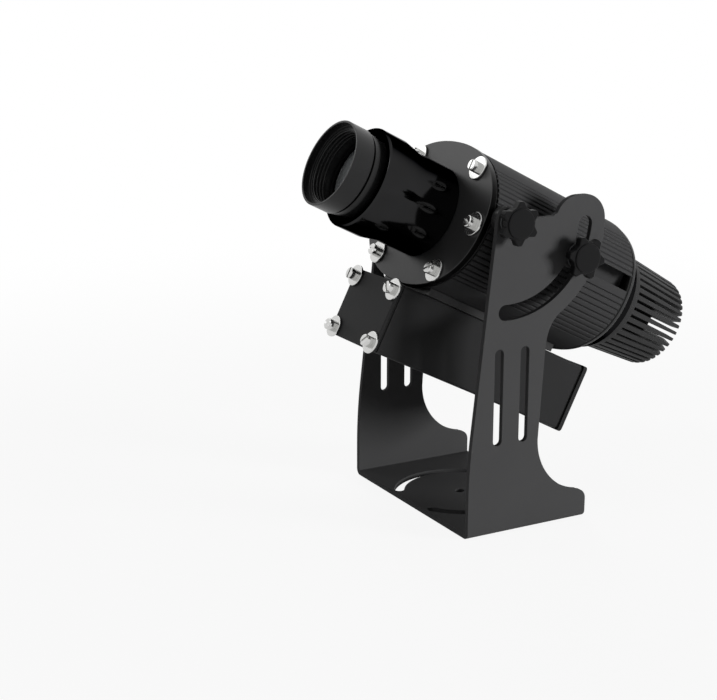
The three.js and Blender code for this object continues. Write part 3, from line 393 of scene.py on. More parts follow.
def curve(start, corner, end, steps):
    """Points on a curve that leaves start towards corner and ends at end"""
    points = []
    for n in range(steps + 1):
        t = n / steps
        points.append(tuple(
            (1 - t) ** 2 * a + 2 * t * (1 - t) * b + t * t * c
            for a, b, c in zip(start, corner, end)
        ))
    return points


def slot_outline(centre, radius, width, start, end):
    """Outline of a round-ended slot that follows an arc"""
    half = width / 2
    head = arc(centre, radius, end, end, 1)[0]
    tail = arc(centre, radius, start, start, 1)[0]
    return [
        *arc(centre, radius + half, start, end, 28),
        *arc(head, half, end, end + 180, 12)[1:],
        *arc(centre, radius - half, end, start, 28)[1:],
        *arc(tail, half, start + 180, start + 360, 12)[1:-1],
    ]


def oval_point(half_width, half_height, degrees):
    """A point on an oval a little fuller than an ellipse"""
    power = 2 / OVAL_POWER
    across_share = math.cos(math.radians(degrees))
    up_share = math.sin(math.radians(degrees))
    return (
        math.copysign(abs(across_share) ** power, across_share) * half_width,
        math.copysign(abs(up_share) ** power, up_share) * half_height,
    )


def oval(half_width, half_height):
    """Outline of the tube, of a plate on it or of the space in it"""
    steps = 144
    return [oval_point(half_width, half_height, 360 * n / steps) for n in range(steps)]


def rounded_box(half_width, bottom, top, radius):
    """Outline of a box with round corners"""
    points = []
    for x, z, start in (
        (half_width - radius, bottom + radius, -90), (half_width - radius, top - radius, 0),
        (-half_width + radius, top - radius, 90), (-half_width + radius, bottom + radius, 180),
    ):
        points += arc((x, z), radius, start, start + 90, 5)
    return points


def tube_outline(s):
    """The ribbed side of the tube from its bottom to its top, and the same mirrored"""
    fine = 12  # steps in a degree
    channel = LENS_AXIS_DROP  # at the tilt axis's height
    mouth = 5.3
    inside = 7
    lip = 62.5
    floor = 56.5
    upper_lip_inset = 0.4
    ribs_above = 44.5
    ribs_below = 46
    groove_shares = ((-0.5, 0), (-0.2, 1), (0.2, 1), (0.5, 0))
    side = []
    walked = 0
    last = None
    for n in range(-90 * fine, 90 * fine + 1):
        here = oval_point(s.half_width, s.half_height, n / fine)
        off_channel = abs(here[1] - channel)
        if last and abs(last[1] - channel) > mouth >= off_channel:
            side += [
                (here[0], channel - mouth), (lip, channel - mouth), (lip, channel - inside),
                (floor, channel - inside), (floor, channel + inside), (lip, channel + inside),
                (lip, channel + mouth), (here[0] - upper_lip_inset, channel + mouth),
            ]
        ribbed = here[0] > (ribs_above if here[1] > 0 else ribs_below)
        if last and ribbed:
            walked += math.dist(here, last)
        if not ribbed and n % (3 * fine) == 0:
            side.append(here)
        if ribbed and walked >= s.rib_pitch:
            walked -= s.rib_pitch
            if off_channel > inside + s.rib_groove / 2:
                ahead = oval_point(s.half_width, s.half_height, n / fine + 0.1)
                step = Vector(ahead) - Vector(here)
                step.normalize()
                inward = Vector((-step.y, step.x))
                for shift, depth in groove_shares:
                    side.append(tuple(
                        Vector(here) + step * shift * s.rib_groove + inward * depth * s.rib_depth
                    ))
        last = here
    return side + [(-x, z) for x, z in reversed(side) if x > 1e-6]


def arm_outline(s):
    """An arm and the end of the base, in y and z"""
    height = TILT_AXIS.z / MM
    boss = 9.5
    shoulder = height + 1
    bow_start = (-s.front, 23.3)
    bow_corner = Vector((-s.front, 47.3))
    bow_length = 24
    bow_end = bow_corner + (Vector((-boss, height)) - bow_corner).normalized() * bow_length
    lobe = 17
    lobe_rear = s.slot_radius * math.cos(math.radians(ARC_SLOT_TOP)) - 1.2
    lobe_height = height + s.slot_radius * math.sin(math.radians(ARC_SLOT_TOP)) + 2.3
    rear_radius = s.slot_radius + s.slot_width / 2 + s.slot_margin
    rear_edge = arc((0, height), rear_radius, ARC_SLOT_TOP * 2, -58, 24)
    waist_corner = (31.4, height - 71.2)
    waist_end = (30.2, 124)
    foot_arc = s.rear - s.waist
    toe = 7
    return [
        (-s.front, 0),
        *curve(bow_start, bow_corner, bow_end, 14),
        *arc((0, height), boss, 180, 22.5, 18),
        (13, shoulder),
        (33, shoulder),
        *arc((lobe_rear - 5.5, lobe_height), lobe, 157, 90, 10),
        *arc((lobe_rear, lobe_height), lobe, 90, 0, 14),
        *rear_edge,
        *curve(rear_edge[-1], waist_corner, waist_end, 12)[1:],
        *arc((s.rear, s.foot + foot_arc), foot_arc, 180, 260, 22),
        *arc((s.rear - toe, s.foot - toe), toe, 90, 0, 8),
        (s.rear, 0),
    ]


def bent_section(s):
    """Section of the bent plate, in x and z, closed above the arms"""
    outside = s.width / 2
    inside = outside - s.plate
    outer = s.bend + s.plate
    above_arms = 240
    return [
        (-outside, above_arms),
        *arc((outer - outside, outer), outer, 180, 270, 10),
        *arc((outside - outer, outer), outer, 270, 360, 10),
        (outside, above_arms),
        (inside, above_arms),
        *arc((inside - s.bend, outer), s.bend, 0, -90, 6),
        *arc((s.bend - inside, outer), s.bend, -90, -180, 6),
        (-inside, above_arms),
    ]


# Materials


class Value:
    """A number or colour in a material; sums with it add Math nodes"""

    def __init__(self, finish, output):
        self.finish = finish
        self.output = output

    def maths(self, operation, first, second):
        """Adds a Math node"""
        return self.finish.node(
            "ShaderNodeMath", {"operation": operation}, {0: first, 1: second},
        )

    def __add__(self, other):
        return self.maths("ADD", self, other)

    def __radd__(self, other):
        return self.maths("ADD", other, self)

    def __sub__(self, other):
        return self.maths("SUBTRACT", self, other)

    def __rsub__(self, other):
        return self.maths("SUBTRACT", other, self)

    def __mul__(self, other):
        return self.maths("MULTIPLY", self, other)

    def __rmul__(self, other):
        return self.maths("MULTIPLY", other, self)


class Finish:
    """A material under construction around one Principled shader"""

    def __init__(self, name, **constants):
        self.material = bpy.data.materials.new(name)
        self.material.use_nodes = True
        self.tree = self.material.node_tree
        self.shader = self.tree.nodes["Principled BSDF"]
        for socket, value in constants.items():
            self.feed(self.shader.inputs[socket.replace("_", " ")], value)

    def feed(self, socket, value):
        """Links a value to a socket, or sets a constant on it"""
        if isinstance(value, Value):
            self.tree.links.new(value.output, socket)
        else:
            socket.default_value = value

    def node(self, kind, settings, sockets, output=0):
        """Adds a node with its settings, its ramp's stops and its sockets' values or links"""
        node = self.tree.nodes.new(kind)
        for name, value in settings.items():
            if name == "stops":
                ramp = node.color_ramp.elements
                while len(ramp) < len(value):
                    ramp.new(0.5)
                for element, (position, level) in zip(ramp, value):
                    element.position = position
                    element.color = (level, level, level, 1)
            else:
                setattr(node, name, value)
        for name, value in sockets.items():
            self.feed(node.inputs[name], value)
        return Value(self, node.outputs[output])

    def place(self, stretch=(1, 1, 1), turn=0):
        """The object's own coordinates, stretched and turned about the tilt axis's direction"""
        coordinates = self.node("ShaderNodeTexCoord", {}, {}, "Object")
        if turn:
            coordinates = self.node(
                "ShaderNodeMapping", {}, {"Vector": coordinates, "Rotation": (turn, 0, 0)},
            )
        return self.node("ShaderNodeMapping", {}, {"Vector": coordinates, "Scale": stretch})

    def noise(self, size, detail, stretch=(1, 1, 1), turn=0):
        """Noise whose blobs are about size millimetres across"""
        return self.node("ShaderNodeTexNoise", {}, {
            "Vector": self.place(stretch, turn), "Scale": 1 / (size * MM), "Detail": detail,
        })

    def mix(self, share, first, second):
        """A colour between two colours"""
        return self.node(
            "ShaderNodeMix", {"data_type": "RGBA"},
            {"Factor": share, 6: (*first, 1), 7: (*second, 1)}, 2,
        )

    def ramp(self, share, *stops):
        """Grey levels between stops, each a position and a level"""
        return self.node("ShaderNodeValToRGB", {"stops": stops}, {"Fac": share})

    def bump(self, height, strength, depth):
        """Feeds a height to the shader's normal, depth in millimetres"""
        normal = self.node("ShaderNodeBump", {}, {
            "Height": height, "Strength": strength, "Distance": depth * MM,
        })
        self.feed(self.shader.inputs["Normal"], normal)

    def colour(self, share, base, spread):
        """Base Color that varies by a share of itself to either side"""
        low = [c * (1 - spread) for c in base]
        high = [min(1, c * (1 + spread)) for c in base]
        self.feed(self.shader.inputs["Base Color"], self.mix(share, low, high))

    def paint_shade_behind(self, face):
        """Painted shade: turns all that lies behind a face black and metallic, so that side shows
        dark; face is its place along the lens axis
        """
        level = self.node("ShaderNodeVectorMath", {"operation": "DOT_PRODUCT"}, {
            0: self.place(), 1: LENS_WAY,
        }, 1)
        start = HEAD.translation.dot(Vector(LENS_WAY)) + face * MM
        behind = self.node("ShaderNodeMapRange", {}, {
            "Value": level, "From Min": start - 0.5 * MM, "From Max": start - 0.2 * MM,
            "To Min": 1, "To Max": 0,
        })
        base = self.shader.inputs["Base Color"]
        lit = Value(self, base.links[0].from_socket)
        # painted shade: near-black colour and full metal behind the face
        self.feed(base, self.node("ShaderNodeMix", {"data_type": "RGBA"}, {
            "Factor": behind, 6: lit, 7: (0.002, 0.002, 0.002, 1),
        }, 2))
        self.feed(self.shader.inputs["Metallic"], behind)

    def rough(self, value):
        """Feeds the shader's roughness"""
        self.feed(self.shader.inputs["Roughness"], value)


def powder_coat(name, colour, roughness):
    """Fine orange peel with a slow drift in sheen"""
    finish = Finish(name, Specular_IOR_Level=0.02)
    patches = finish.noise(38, 3)
    peel = finish.noise(0.7, 2)
    finish.colour(patches, colour, 0.05)
    finish.rough(roughness + 0.1 * (patches - 0.5) + 0.05 * (peel - 0.5))
    finish.bump(peel, 0.22, 0.03)
    return finish.material


def anodised(name, colour, roughness, gloss, drawn_out=False, face=None):
    """Aluminium under a dark oxide, streaked where drawn out, with painted shade that turns it
    black behind a face
    """
    finish = Finish(name, Specular_IOR_Level=gloss)
    stretch = (1, 0.03, 1) if drawn_out else (1, 1, 1)
    streaks = finish.noise(0.9, 3, stretch, TILT if drawn_out else 0)
    patches = finish.noise(46, 2)
    finish.colour(0.5 * streaks + 0.5 * patches, colour, 0.12)
    finish.rough(roughness + 0.12 * (streaks - 0.5) + 0.08 * (patches - 0.5))
    finish.bump(streaks, 0.18, 0.02)
    # painted shade behind the face
    if face:
        finish.paint_shade_behind(face)
    return finish.material


def polished(name, colour, roughness):
    """Polished black anodised metal with faint dust and long soft waves, dark at its edges"""
    finish = Finish(name, Metallic=1, Specular_Tint=(0.1, 0.1, 0.1, 1))
    waves = finish.noise(14, 1)
    dust = finish.noise(0.5, 4)
    specks = finish.ramp(dust, (0.66, 0), (0.74, 1))
    finish.colour(waves, colour, 0.1)
    finish.rough(roughness + 0.05 * (waves - 0.5) + 0.16 * specks)
    finish.bump(waves, 0.05, 0.05)
    return finish.material


def moulded(name, colour, roughness):
    """Moulded plastic with a fine spark-eroded grain"""
    finish = Finish(name, Specular_IOR_Level=0.14)
    grain = finish.noise(0.35, 3)
    patches = finish.noise(9, 2)
    finish.colour(patches, colour, 0.1)
    finish.rough(roughness + 0.1 * (grain - 0.5) + 0.08 * (patches - 0.5))
    finish.bump(grain, 0.2, 0.02)
    return finish.material


def plated(name, colour, roughness, spread=0.05):
    """Bright metal with fine turning marks and a little haze"""
    finish = Finish(name, Metallic=1)
    haze = finish.noise(2.2, 3)
    marks = finish.noise(0.25, 2, (1, 0.2, 1), TILT)
    finish.colour(haze, colour, spread)
    finish.rough(roughness + 0.12 * (haze - 0.5) + 0.08 * (marks - 0.5))
    finish.bump(marks, 0.08, 0.01)
    return finish.material


def rubber(name, colour):
    """Dull black rubber with a coarse grain"""
    finish = Finish(name, Specular_IOR_Level=0.3)
    grain = finish.noise(0.6, 4)
    finish.colour(grain, colour, 0.25)
    finish.rough(0.8 + 0.15 * (grain - 0.5))
    finish.bump(grain, 0.3, 0.04)
    return finish.material


def glass(name):
    """Coated optical glass with a trace of dust"""
    finish = Finish(name, IOR=1.8, Transmission_Weight=0.35)
    dust = finish.noise(5, 3)
    specks = finish.ramp(dust, (0.5, 0), (0.8, 1))
    finish.colour(specks, (0.5, 0.52, 0.53), 0.06)
    finish.rough(0.02 + 0.01 * specks)
    return finish.material


def board(name, colour):
    """Printed board: solder mask with a faint grid of tracks"""
    finish = Finish(name, Specular_IOR_Level=0.4)
    tracks = finish.node("ShaderNodeTexBrick", {"offset": 0.5}, {
        "Vector": finish.place((1 / MM, 1 / MM, 1 / MM)), "Scale": 0.25, "Mortar Size": 0.06,
    }, 1)
    finish.colour(tracks, colour, 0.3)
    finish.rough(0.45 + 0.1 * tracks)
    finish.bump(tracks, 0.2, 0.03)
    return finish.material


def phosphor(name, colour):
    """The lamp's yellow face with its grid of chips"""
    finish = Finish(name)
    dots = finish.node("ShaderNodeTexVoronoi", {}, {
        "Vector": finish.place(), "Scale": 1 / (1.6 * MM),
    })
    finish.colour(dots, colour, 0.12)
    finish.rough(0.4 + 0.2 * dots)
    finish.bump(dots, 0.2, 0.05)
    return finish.material


FINISHES = {}


def finishes():
    """All finishes of the object, made once"""
    if FINISHES:
        return FINISHES
    c = bpy.context.scene.projector_colours
    FINISHES.update(
        yoke=powder_coat("yoke_powder_coat", c.yoke, 0.55),
        tube=anodised("tube_satin_black", c.tube, 0.5, 0.012, drawn_out=True),
        plate=anodised("plate_satin_black", c.satin, 0.34, 0.3),
        # painted shade: the front plate's side behind its face is black
        front=anodised("front_plate_satin_black", c.satin, 0.34, 0.3, face=FRONT_FACE),
        box=anodised("box_satin_black", c.satin, 0.45, 0.08),
        hood=anodised("hood_satin_black", c.hood, 0.33, 0.25),
        sink=anodised("heat_sink_black", c.sink, 0.5, 0.1, drawn_out=True),
        gloss=polished("barrel_gloss_black", c.gloss, 0.08),
        # painted shade: darker copy of the barrel's polished black
        neck=polished("neck_gloss_black", c.neck, 0.12),
        knob=moulded("knob_plastic", c.knob, 0.42),
        nickel=plated("nickel_plate", c.nickel, 0.2),
        steel=plated("plain_steel", c.steel, 0.4, 0.1),
        rubber=rubber("gasket_rubber", c.rubber),
        glass=glass("optical_glass"),
        green=board("driver_board_mask", c.mask),
        white=board("lamp_board_mask", c.lamp_board),
        yellow=phosphor("lamp_phosphor", c.phosphor),
    )
    return FINISHES


# One operator for each piece or group of like pieces


class PROJECTOR_OT_yoke(Operator):
    """Cut the arms from a bent plate and give it its slots and holes"""

    bl_idname = "projector.yoke"
    bl_label = "Yoke"

    def execute(self, context):
        s = sizes("yoke")
        height = TILT_AXIS.z / MM
        outside = s.width / 2 + 5
        blank_rear = -95
        blank_front = 45
        yoke = thick("yoke_plate", bent_section(s), along, blank_rear, blank_front)
        cut(yoke, thick("arms", arm_outline(s), across, -outside, outside), "INTERSECT")
        arc_slot = slot_outline(
            (0, height), s.slot_radius, s.slot_width, ARC_SLOT_LOW, ARC_SLOT_TOP,
        )
        cutters = [thick("arc_slot", arc_slot, across, -outside, outside)]
        slot_bottom = 62
        slot_top = 127
        half = s.arm_slot / 2
        for reach in (-5.9, 14.1):
            outline = [
                *arc((reach, slot_bottom + half), half, 180, 360, 12),
                *arc((reach, slot_top - half), half, 0, 180, 12),
            ]
            cutters.append(thick("arm_slot", outline, across, -outside, outside))
        pivot_hole = circle((0, height), STUD_BORE, 24)
        cutters.append(thick("pivot_hole", pivot_hole, across, -outside, outside))
        below = -5
        above = 12
        middle = (0, s.base_hole_reach)
        sweep = 116
        for side in (0, 180):
            start = side - sweep / 2
            outline = slot_outline(middle, s.base_slot_radius, s.base_slot, start, start + sweep)
            cutters.append(thick("base_slot", outline, upright, below, above))
        cutters.append(thick("base_hole", circle(middle, s.base_hole, 36), upright, below, above))
        cut(yoke, joined(cutters))
        soften(yoke, s.edge)
        dress(yoke, "yoke", "yoke", "yoke_black", "yoke_bracket")
        return {"FINISHED"}


class PROJECTOR_OT_tube(Operator):
    """Extrude the ribbed oval tube and cut out its inside"""

    bl_idname = "projector.tube"
    bl_label = "Body tube"

    def execute(self, context):
        s = sizes("head")
        rear = -118.5
        front = 5.5
        overrun = 6.5
        tube = thick("ribbed_tube", tube_outline(s), along, rear, front)
        channel_back = 53.5
        channel_reach = 10
        inside = []
        for x, z in oval(s.half_width - s.wall, s.half_height - s.wall):
            if abs(z - LENS_AXIS_DROP) < channel_reach:
                x = math.copysign(min(abs(x), channel_back), x)
            inside.append((x, z))
        cut(tube, thick("inside", inside, along, rear - overrun, front + overrun))
        soften(tube, 0.18, 1)
        mount(tube, "tube", "satin_black_aluminium", "body_tube")
        return {"FINISHED"}


class PROJECTOR_OT_end_plates(Operator):
    """Front plate, rear plate and the saddle below the tube"""

    bl_idname = "projector.end_plates"
    bl_label = "End plates and saddle"

    def plate(self, s, name, grown, bore, faces, cutter_ends):
        """An oval plate with its bore and six screw holes, wider than the tube by grown"""
        outline = oval(s.half_width + grown, s.half_height + grown)
        plate = thick(name, outline, along, *faces)
        cutters = [thick("bore", circle((0, 0), bore, 96), along, *cutter_ends)]
        for place in PLATE_SCREWS:
            cutters.append(thick("hole", circle(place, 2.3, 24), along, *cutter_ends))
        cut(plate, joined(cutters))
        soften(plate, s.edge)
        return plate

    def saddle(self, s):
        """The block between the tube's belly and the driver box"""
        belly = []
        for n in range(33):
            x = BOX_HALF * (1 - n / 16)
            share = (abs(x) / (s.half_width + GAP)) ** OVAL_POWER
            belly.append((x, -(s.half_height + GAP) * (1 - share) ** (1 / OVAL_POWER)))
        outline = [(-BOX_HALF, BOX_TOP + GAP), (BOX_HALF, BOX_TOP + GAP), *belly]
        saddle = thick("tube_saddle", outline, along, -108, 4.5)
        soften(saddle, 0.25)
        return saddle

    def execute(self, context):
        s = sizes("head")
        slot = "satin_black_aluminium"
        faces = (FRONT_FACE - 4.5, FRONT_FACE)
        front = self.plate(s, "bevelled_front_plate", 0.4, 29.8, faces, (0, 20))
        mount(front, "front", slot, "front_plate")
        faces = (REAR_FACE, REAR_FACE + 2.4)
        rear = self.plate(s, "rear_cover", -1, 34.8, faces, (-130, -115))
        mount(rear, "plate", slot, "rear_plate")
        mount(self.saddle(s), "plate", slot, "saddle")
        return {"FINISHED"}


class PROJECTOR_OT_screws(Operator):
    """Slotted screws with washers on the front plates, low screws on the rear ones"""

    bl_idname = "projector.screws"
    bl_label = "Screws"

    def slotted(self, head, height, slot, shank, length, washer=0):
        """A screw along the lens axis, its seat at 0, and where washer is a radius, its washer"""
        chamfer = 0.5
        seat = 1.5 if washer else 0
        seam = seat - 0.05
        top = seat + height
        screw = turned("screw", [
            (0, top), (head - chamfer, top), (head, top - chamfer), (head, seam),
            (shank, seam), (shank, -length), (0, -length),
        ], 40)
        width, depth = slot
        beside = head + 1
        outline = [
            (-beside, -width / 2), (beside, -width / 2), (beside, width / 2), (-beside, width / 2),
        ]
        cut(screw, thick("slot", outline, along, top - depth, top + 2))
        soften(screw, 0.22)
        if not washer:
            return screw
        disc = ring("washer", shank + 0.2, washer, 0, seam, 56)
        soften(disc, 0.3)
        return joined([screw, disc])

    def execute(self, context):
        tall = {"head": 3.9, "height": 5.2, "slot": (1.4, 1.6)}
        sets = [
            ("front", PLATE_SCREWS, FRONT_FACE + GAP,
             self.slotted(shank=2, length=15.8, washer=8, **tall)),
            ("driver", BOX_SCREWS, BOX_FRONT + GAP,
             self.slotted(shank=1.7, length=13, washer=7.5, **tall)),
            ("rear", PLATE_SCREWS, REAR_FACE - GAP,
             self.slotted(head=3.6, height=2.4, slot=(1.2, 1), shank=2, length=12)),
            ("driver_rear", BOX_SCREWS, BOX_REAR - 0.2,
             self.slotted(head=3, height=2, slot=(1, 0.9), shank=1.7, length=12)),
        ]
        for kind, places, reach, model in sets:
            front = reach > 0
            facing = Matrix.Identity(4) if front else Matrix.Rotation(math.pi, 4, "Z")
            for n, (x, z) in enumerate(places):
                turn = Matrix.Rotation((n + 1) * math.pi / len(places), 4, "Y")
                place = HEAD @ moved(x, reach, z) @ turn @ facing
                screw = copied(model, f"{kind}_slotted_screw_{n + 1}", place)
                nodes = [f"{kind}_screw_{n + 1}"] if front else []
                dress(screw, "nickel", "head", "nickel_plated_steel", *nodes)
            bpy.data.objects.remove(model)
        return {"FINISHED"}


class PROJECTOR_OT_barrel(Operator):
    """Spin the lens barrel with its collar, and the neck behind the tube"""

    bl_idname = "projector.barrel"
    bl_label = "Lens barrel and neck"

    def execute(self, context):
        s = sizes("optics")
        foot = 3.3
        on_plate = FRONT_FACE + GAP
        mouth = 72
        recess = 68
        lens_front = 28
        lens_rear = 20
        spigot = 29.5
        recess_radius = 30
        bore = 27.5
        lens_bore = 24.3
        light_bore = 21.6
        barrel = turned("gloss_barrel", [
            (light_bore, foot), (spigot, foot), (spigot, on_plate), (s.barrel, on_plate),
            (s.barrel, 40.5), (s.collar, 53.5), (s.collar, mouth - 1), (s.collar - 1, mouth),
            (recess_radius, mouth), (recess_radius, recess), (bore, recess), (bore, lens_front),
            (lens_bore, lens_front), (lens_bore, lens_rear), (light_bore, lens_rear),
        ], 144)
        soften(barrel, 0.35)
        neck = ring("neck_band", 35, 40, NECK_REAR, REAR_FACE - GAP, 144)
        soften(neck, 0.5)
        for piece, finish, node in ((barrel, "gloss", "lens_barrel"), (neck, "neck", "neck_ring")):
            mount(piece, finish, "gloss_black_aluminium", node)
        return {"FINISHED"}


class PROJECTOR_OT_focus(Operator):
    """Spin the focusing tube with its hood, baffle rings and lenses"""

    bl_idname = "projector.focus"
    bl_label = "Focusing tube and lenses"

    def lens(self, name, radius, rear, thickness):
        """A lens with two bulged faces inside a flat rim"""
        edge = 2.4
        bulge = (thickness - edge) / 2
        free = radius - 2.8
        rear_face = []
        front_face = []
        for n in range(13):
            share = n / 12
            rise = bulge * (1 - share * share)
            rear_face.append((free * share, rear - rise))
            front_face.insert(0, (free * share, rear + edge + rise))
        lens = turned(name, [*rear_face, (radius, rear), (radius, rear + edge), *front_face], 96)
        soften(lens, 0)
        return lens

    def hood(self, s):
        """The sliding tube, its grip band and the hood, with baffle rings inside"""
        rear = 38
        lens_rest = 70
        band_rear = 75.4
        band_front = 79.2
        hood_rear = 80.5
        mouth = 95
        lip_depth = 5
        chamfer = 0.75
        groove = s.focus - 0.8
        lip = s.hood - 1.5
        wall = 25.1
        throat = 22.6
        baffles = []
        for reach in (88, 85.5, 83, 80.5):
            baffles += [
                (wall, reach + 0.8), (wall - 0.6, reach + 0.8),
                (wall - 0.6, reach - 0.4), (wall, reach - 0.4),
            ]
        hood = turned("focus_tube_hood", [
            (s.focus, rear), (s.focus, band_rear), (s.band, band_rear), (s.band, band_front),
            (groove, band_front), (groove, hood_rear), (s.hood - chamfer, hood_rear),
            (s.hood, hood_rear + chamfer), (s.hood, mouth), (lip, mouth),
            (lip, mouth - lip_depth), (wall, mouth - lip_depth), *baffles,
            (wall, lens_rest), (throat, lens_rest), (throat, rear),
        ], 144)
        soften(hood, 0.25)
        return hood

    def execute(self, context):
        hood = self.hood(sizes("optics"))
        retainer = ring("lens_retainer", 22.6, 24.8, 73, 75, 96)
        soften(retainer, 0.2)
        front = self.lens("front_glass", 24.8, 70.3, 11)
        rear = self.lens("rear_glass", 24, 20.3, 8)
        for piece, finish, body, slot, node in (
            (hood, "hood", "focus", "gloss_black_aluminium", "focus_tube"),
            (retainer, "knob", "focus", "satin_black_aluminium", "front_lens_ring"),
            (front, "glass", "focus", "optical_glass", "front_lens"),
            (rear, "glass", "head", "optical_glass", "rear_lens"),
        ):
            mount(piece, finish, slot, node, body)
        return {"FINISHED"}


class PROJECTOR_OT_heat_sink(Operator):
    """Spin the heat sink and cut it into fingers"""

    bl_idname = "projector.heat_sink"
    bl_label = "Heat sink"

    def execute(self, context):
        s = sizes("sink")
        shoulder = NECK_REAR - GAP
        flange = shoulder - 6
        tip = -207
        core = 34.5
        flange_radius = 37.4
        base = turned("heat_sink_ring", [
            (0, -112), (core, -112), (core, shoulder),
            (flange_radius, shoulder), (flange_radius, flange), (0, flange),
        ], 144)
        soften(base, 0.4)
        hollow = 22.6
        hollow_end = tip + 20
        root = flange + GAP
        fingers = turned("heat_sink_fingers", [
            (0, root), (s.start, root), (s.end, tip + 3.2), (s.end - 0.6, tip + 1.4),
            (s.end - 1.6, tip + 0.4), (s.end - 3.2, tip), (hollow, tip),
            (hollow, hollow_end), (0, hollow_end),
        ], FINGERS)
        half = s.slot / 2
        end = s.slot_end / 2
        widens = 176
        beyond = 5 - tip
        plan = [
            (-half, 156.4), (half, 156.4), (half, widens), (end, -tip), (end, beyond),
            (-end, beyond), (-end, -tip), (-half, widens),
        ]
        slot = thick("slot", plan, upright, s.root, 45)
        cutters = []
        for n in range(FINGERS):
            turn = Matrix.Rotation(FULL_TURN * n / FINGERS, 4, "Y")
            cutters.append(copied(slot, f"slot_{n}", turn))
        bpy.data.objects.remove(slot)
        cut(fingers, joined(cutters))
        soften(fingers, 0.22, 1)
        for piece in (base, fingers):
            mount(piece, "sink", "satin_black_aluminium", "heat_sink")
        return {"FINISHED"}


class PROJECTOR_OT_driver_box(Operator):
    """Box below the tube with its two end plates and the cable gland"""

    bl_idname = "projector.driver_box"
    bl_label = "Driver box"

    def case(self, grown, corner):
        """The box's outline, wider on all sides by grown"""
        return rounded_box(BOX_HALF + grown, BOX_BOTTOM - grown, BOX_TOP + grown, corner)

    def gland(self, height):
        """Nut, dome and thread of the cable gland around an open bore"""
        bore = 4.2
        nut_rear = -149
        nut_front = -144.2
        nut = thick("gland_nut", circle((0, 0), 9, 6), along, nut_rear, nut_front)
        cut(nut, thick("bore", circle((0, 0), bore, 36), along, nut_rear - 6, nut_front + 4.2))
        dome_rear = -159.2
        dome_front = -148.5
        dome = turned("gland_dome", [
            (bore, dome_rear), (6, dome_rear), (6.4, dome_rear + 0.6), (8.4, nut_rear),
            (8.4, dome_front), (bore, dome_front),
        ], 64)
        thread = ring("gland_thread", bore, 6, -144.5, -137.1, 48)
        for piece in (nut, dome, thread):
            soften(piece, 0.35)
        gland = joined([nut, dome, thread])
        gland.name = "supply_gland"
        settle(gland, HEAD @ moved(0, 0, height))
        return gland

    def execute(self, context):
        wall = 2.4
        lip = 0.8
        gland_height = -76.5
        box = thick("driver_case", self.case(0, 2), along, -139, 23.6)
        cut(box, thick("inside", self.case(-wall, 1), along, -145, 30))
        front = thick("driver_front_cover", self.case(0, 2), along, BOX_FRONT - 2.4, BOX_FRONT)
        rear = thick("driver_rear_cover", self.case(lip, 2.4), along, BOX_REAR, BOX_REAR + 3.3)
        for plate, start, end in ((front, 20, 32), (rear, -150, -135)):
            cutters = [
                thick("hole", circle(place, 2, 24), along, start, end) for place in BOX_SCREWS
            ]
            cut(plate, joined(cutters))
        cut(rear, thick("hole", circle((0, gland_height), 6.3, 36), along, -150, -135))
        for piece, node in (
            (box, "driver_box"), (front, "driver_front_plate"), (rear, "driver_rear_plate"),
        ):
            soften(piece, 0.3)
            mount(piece, "box", "satin_black_aluminium", node)
        dress(self.gland(gland_height), "knob", "head", "black_plastic", "cable_gland")
        return {"FINISHED"}


class PROJECTOR_OT_clamps(Operator):
    """Star knobs with studs, their washers and the spacers behind the arms"""

    bl_idname = "projector.clamps"
    bl_label = "Star knobs"

    def knob(self, s):
        """Star, cap and hub of one knob in one piece and its stud in another, on the near side"""
        back = 78.1
        star_back = back + 4.2
        cap_back = star_back + 1
        face = star_back + s.height
        hub = 7.5
        outline = []
        for n in range(6):
            middle = 60 * n
            outline += arc((0, 0), s.lug, middle - 7, middle + 7, 3)
            outline += arc((0, 0), s.valley, middle + 21, middle + 39, 3)
        star = thick("star", outline, across, star_back, face)
        soften(star, 0.7)
        cap = turned("cap", [
            (0, back), (hub, back), (hub, cap_back), (s.cap, cap_back), (s.cap, face + 0.6),
            (s.cap - 0.4, face + 0.9), (s.cap - 1.4, face + 1), (0, face + 0.9),
        ], 72, across)
        soften(cap, 0.25)
        stud_start = 56.8
        stud_end = face - 1
        stud = turned("stud", [
            (0, stud_start), (3, stud_start), (3, stud_end), (0, stud_end),
        ], 32, across)
        soften(stud, 0.3)
        return joined([star, cap]), stud

    def execute(self, context):
        s = sizes("knobs")
        knob, stud = self.knob(s)
        washer = ring("washer", STUD_BORE, 8.5, 76.3, 77.8, 56, across)
        inner = 67.2
        step = 72.2
        spacer = 9
        plain = ring("plain", STUD_BORE, spacer, inner, step, 56, across)
        guided = turned("guided", [
            (STUD_BORE, inner), (spacer, inner), (spacer, step), (4.9, step), (4.9, 76),
            (STUD_BORE, 76),
        ], 56, across)
        for piece in (washer, plain, guided):
            soften(piece, 0.25)
        for place, back, degrees, behind in (("pivot", 0, -6, plain), ("lock", 59, 14, guided)):
            turn = Matrix.Rotation(math.radians(degrees), 4, "X")
            for side, mirror in (("right", 1), ("left", -1)):
                spot = PIVOT @ moved(0, -back) @ Matrix.Diagonal((mirror, 1, 1, 1))
                end = f"{place}_{side}"
                node = f"{place}_knob_{side}"
                body = f"{node}_body"
                for model, name, finish, where, carrier, slot, replaced in (
                    (knob, "star_knob", "knob", spot @ turn, body, "black_plastic", node),
                    (stud, "stud", "steel", spot, body, "plain_steel", node),
                    (washer, "knob_disc", "steel", spot, "head", "plain_steel",
                     f"{place}_washer_{side}"),
                    (behind, "arm_spacer", "plate", spot, "head", "satin_black_aluminium",
                     f"{place}_spacer_{side}"),
                ):
                    piece = copied(model, f"{name}_{end}", where)
                    dress(piece, finish, carrier, slot, replaced)
        for model in (knob, stud, washer, plain, guided):
            bpy.data.objects.remove(model)
        return {"FINISHED"}


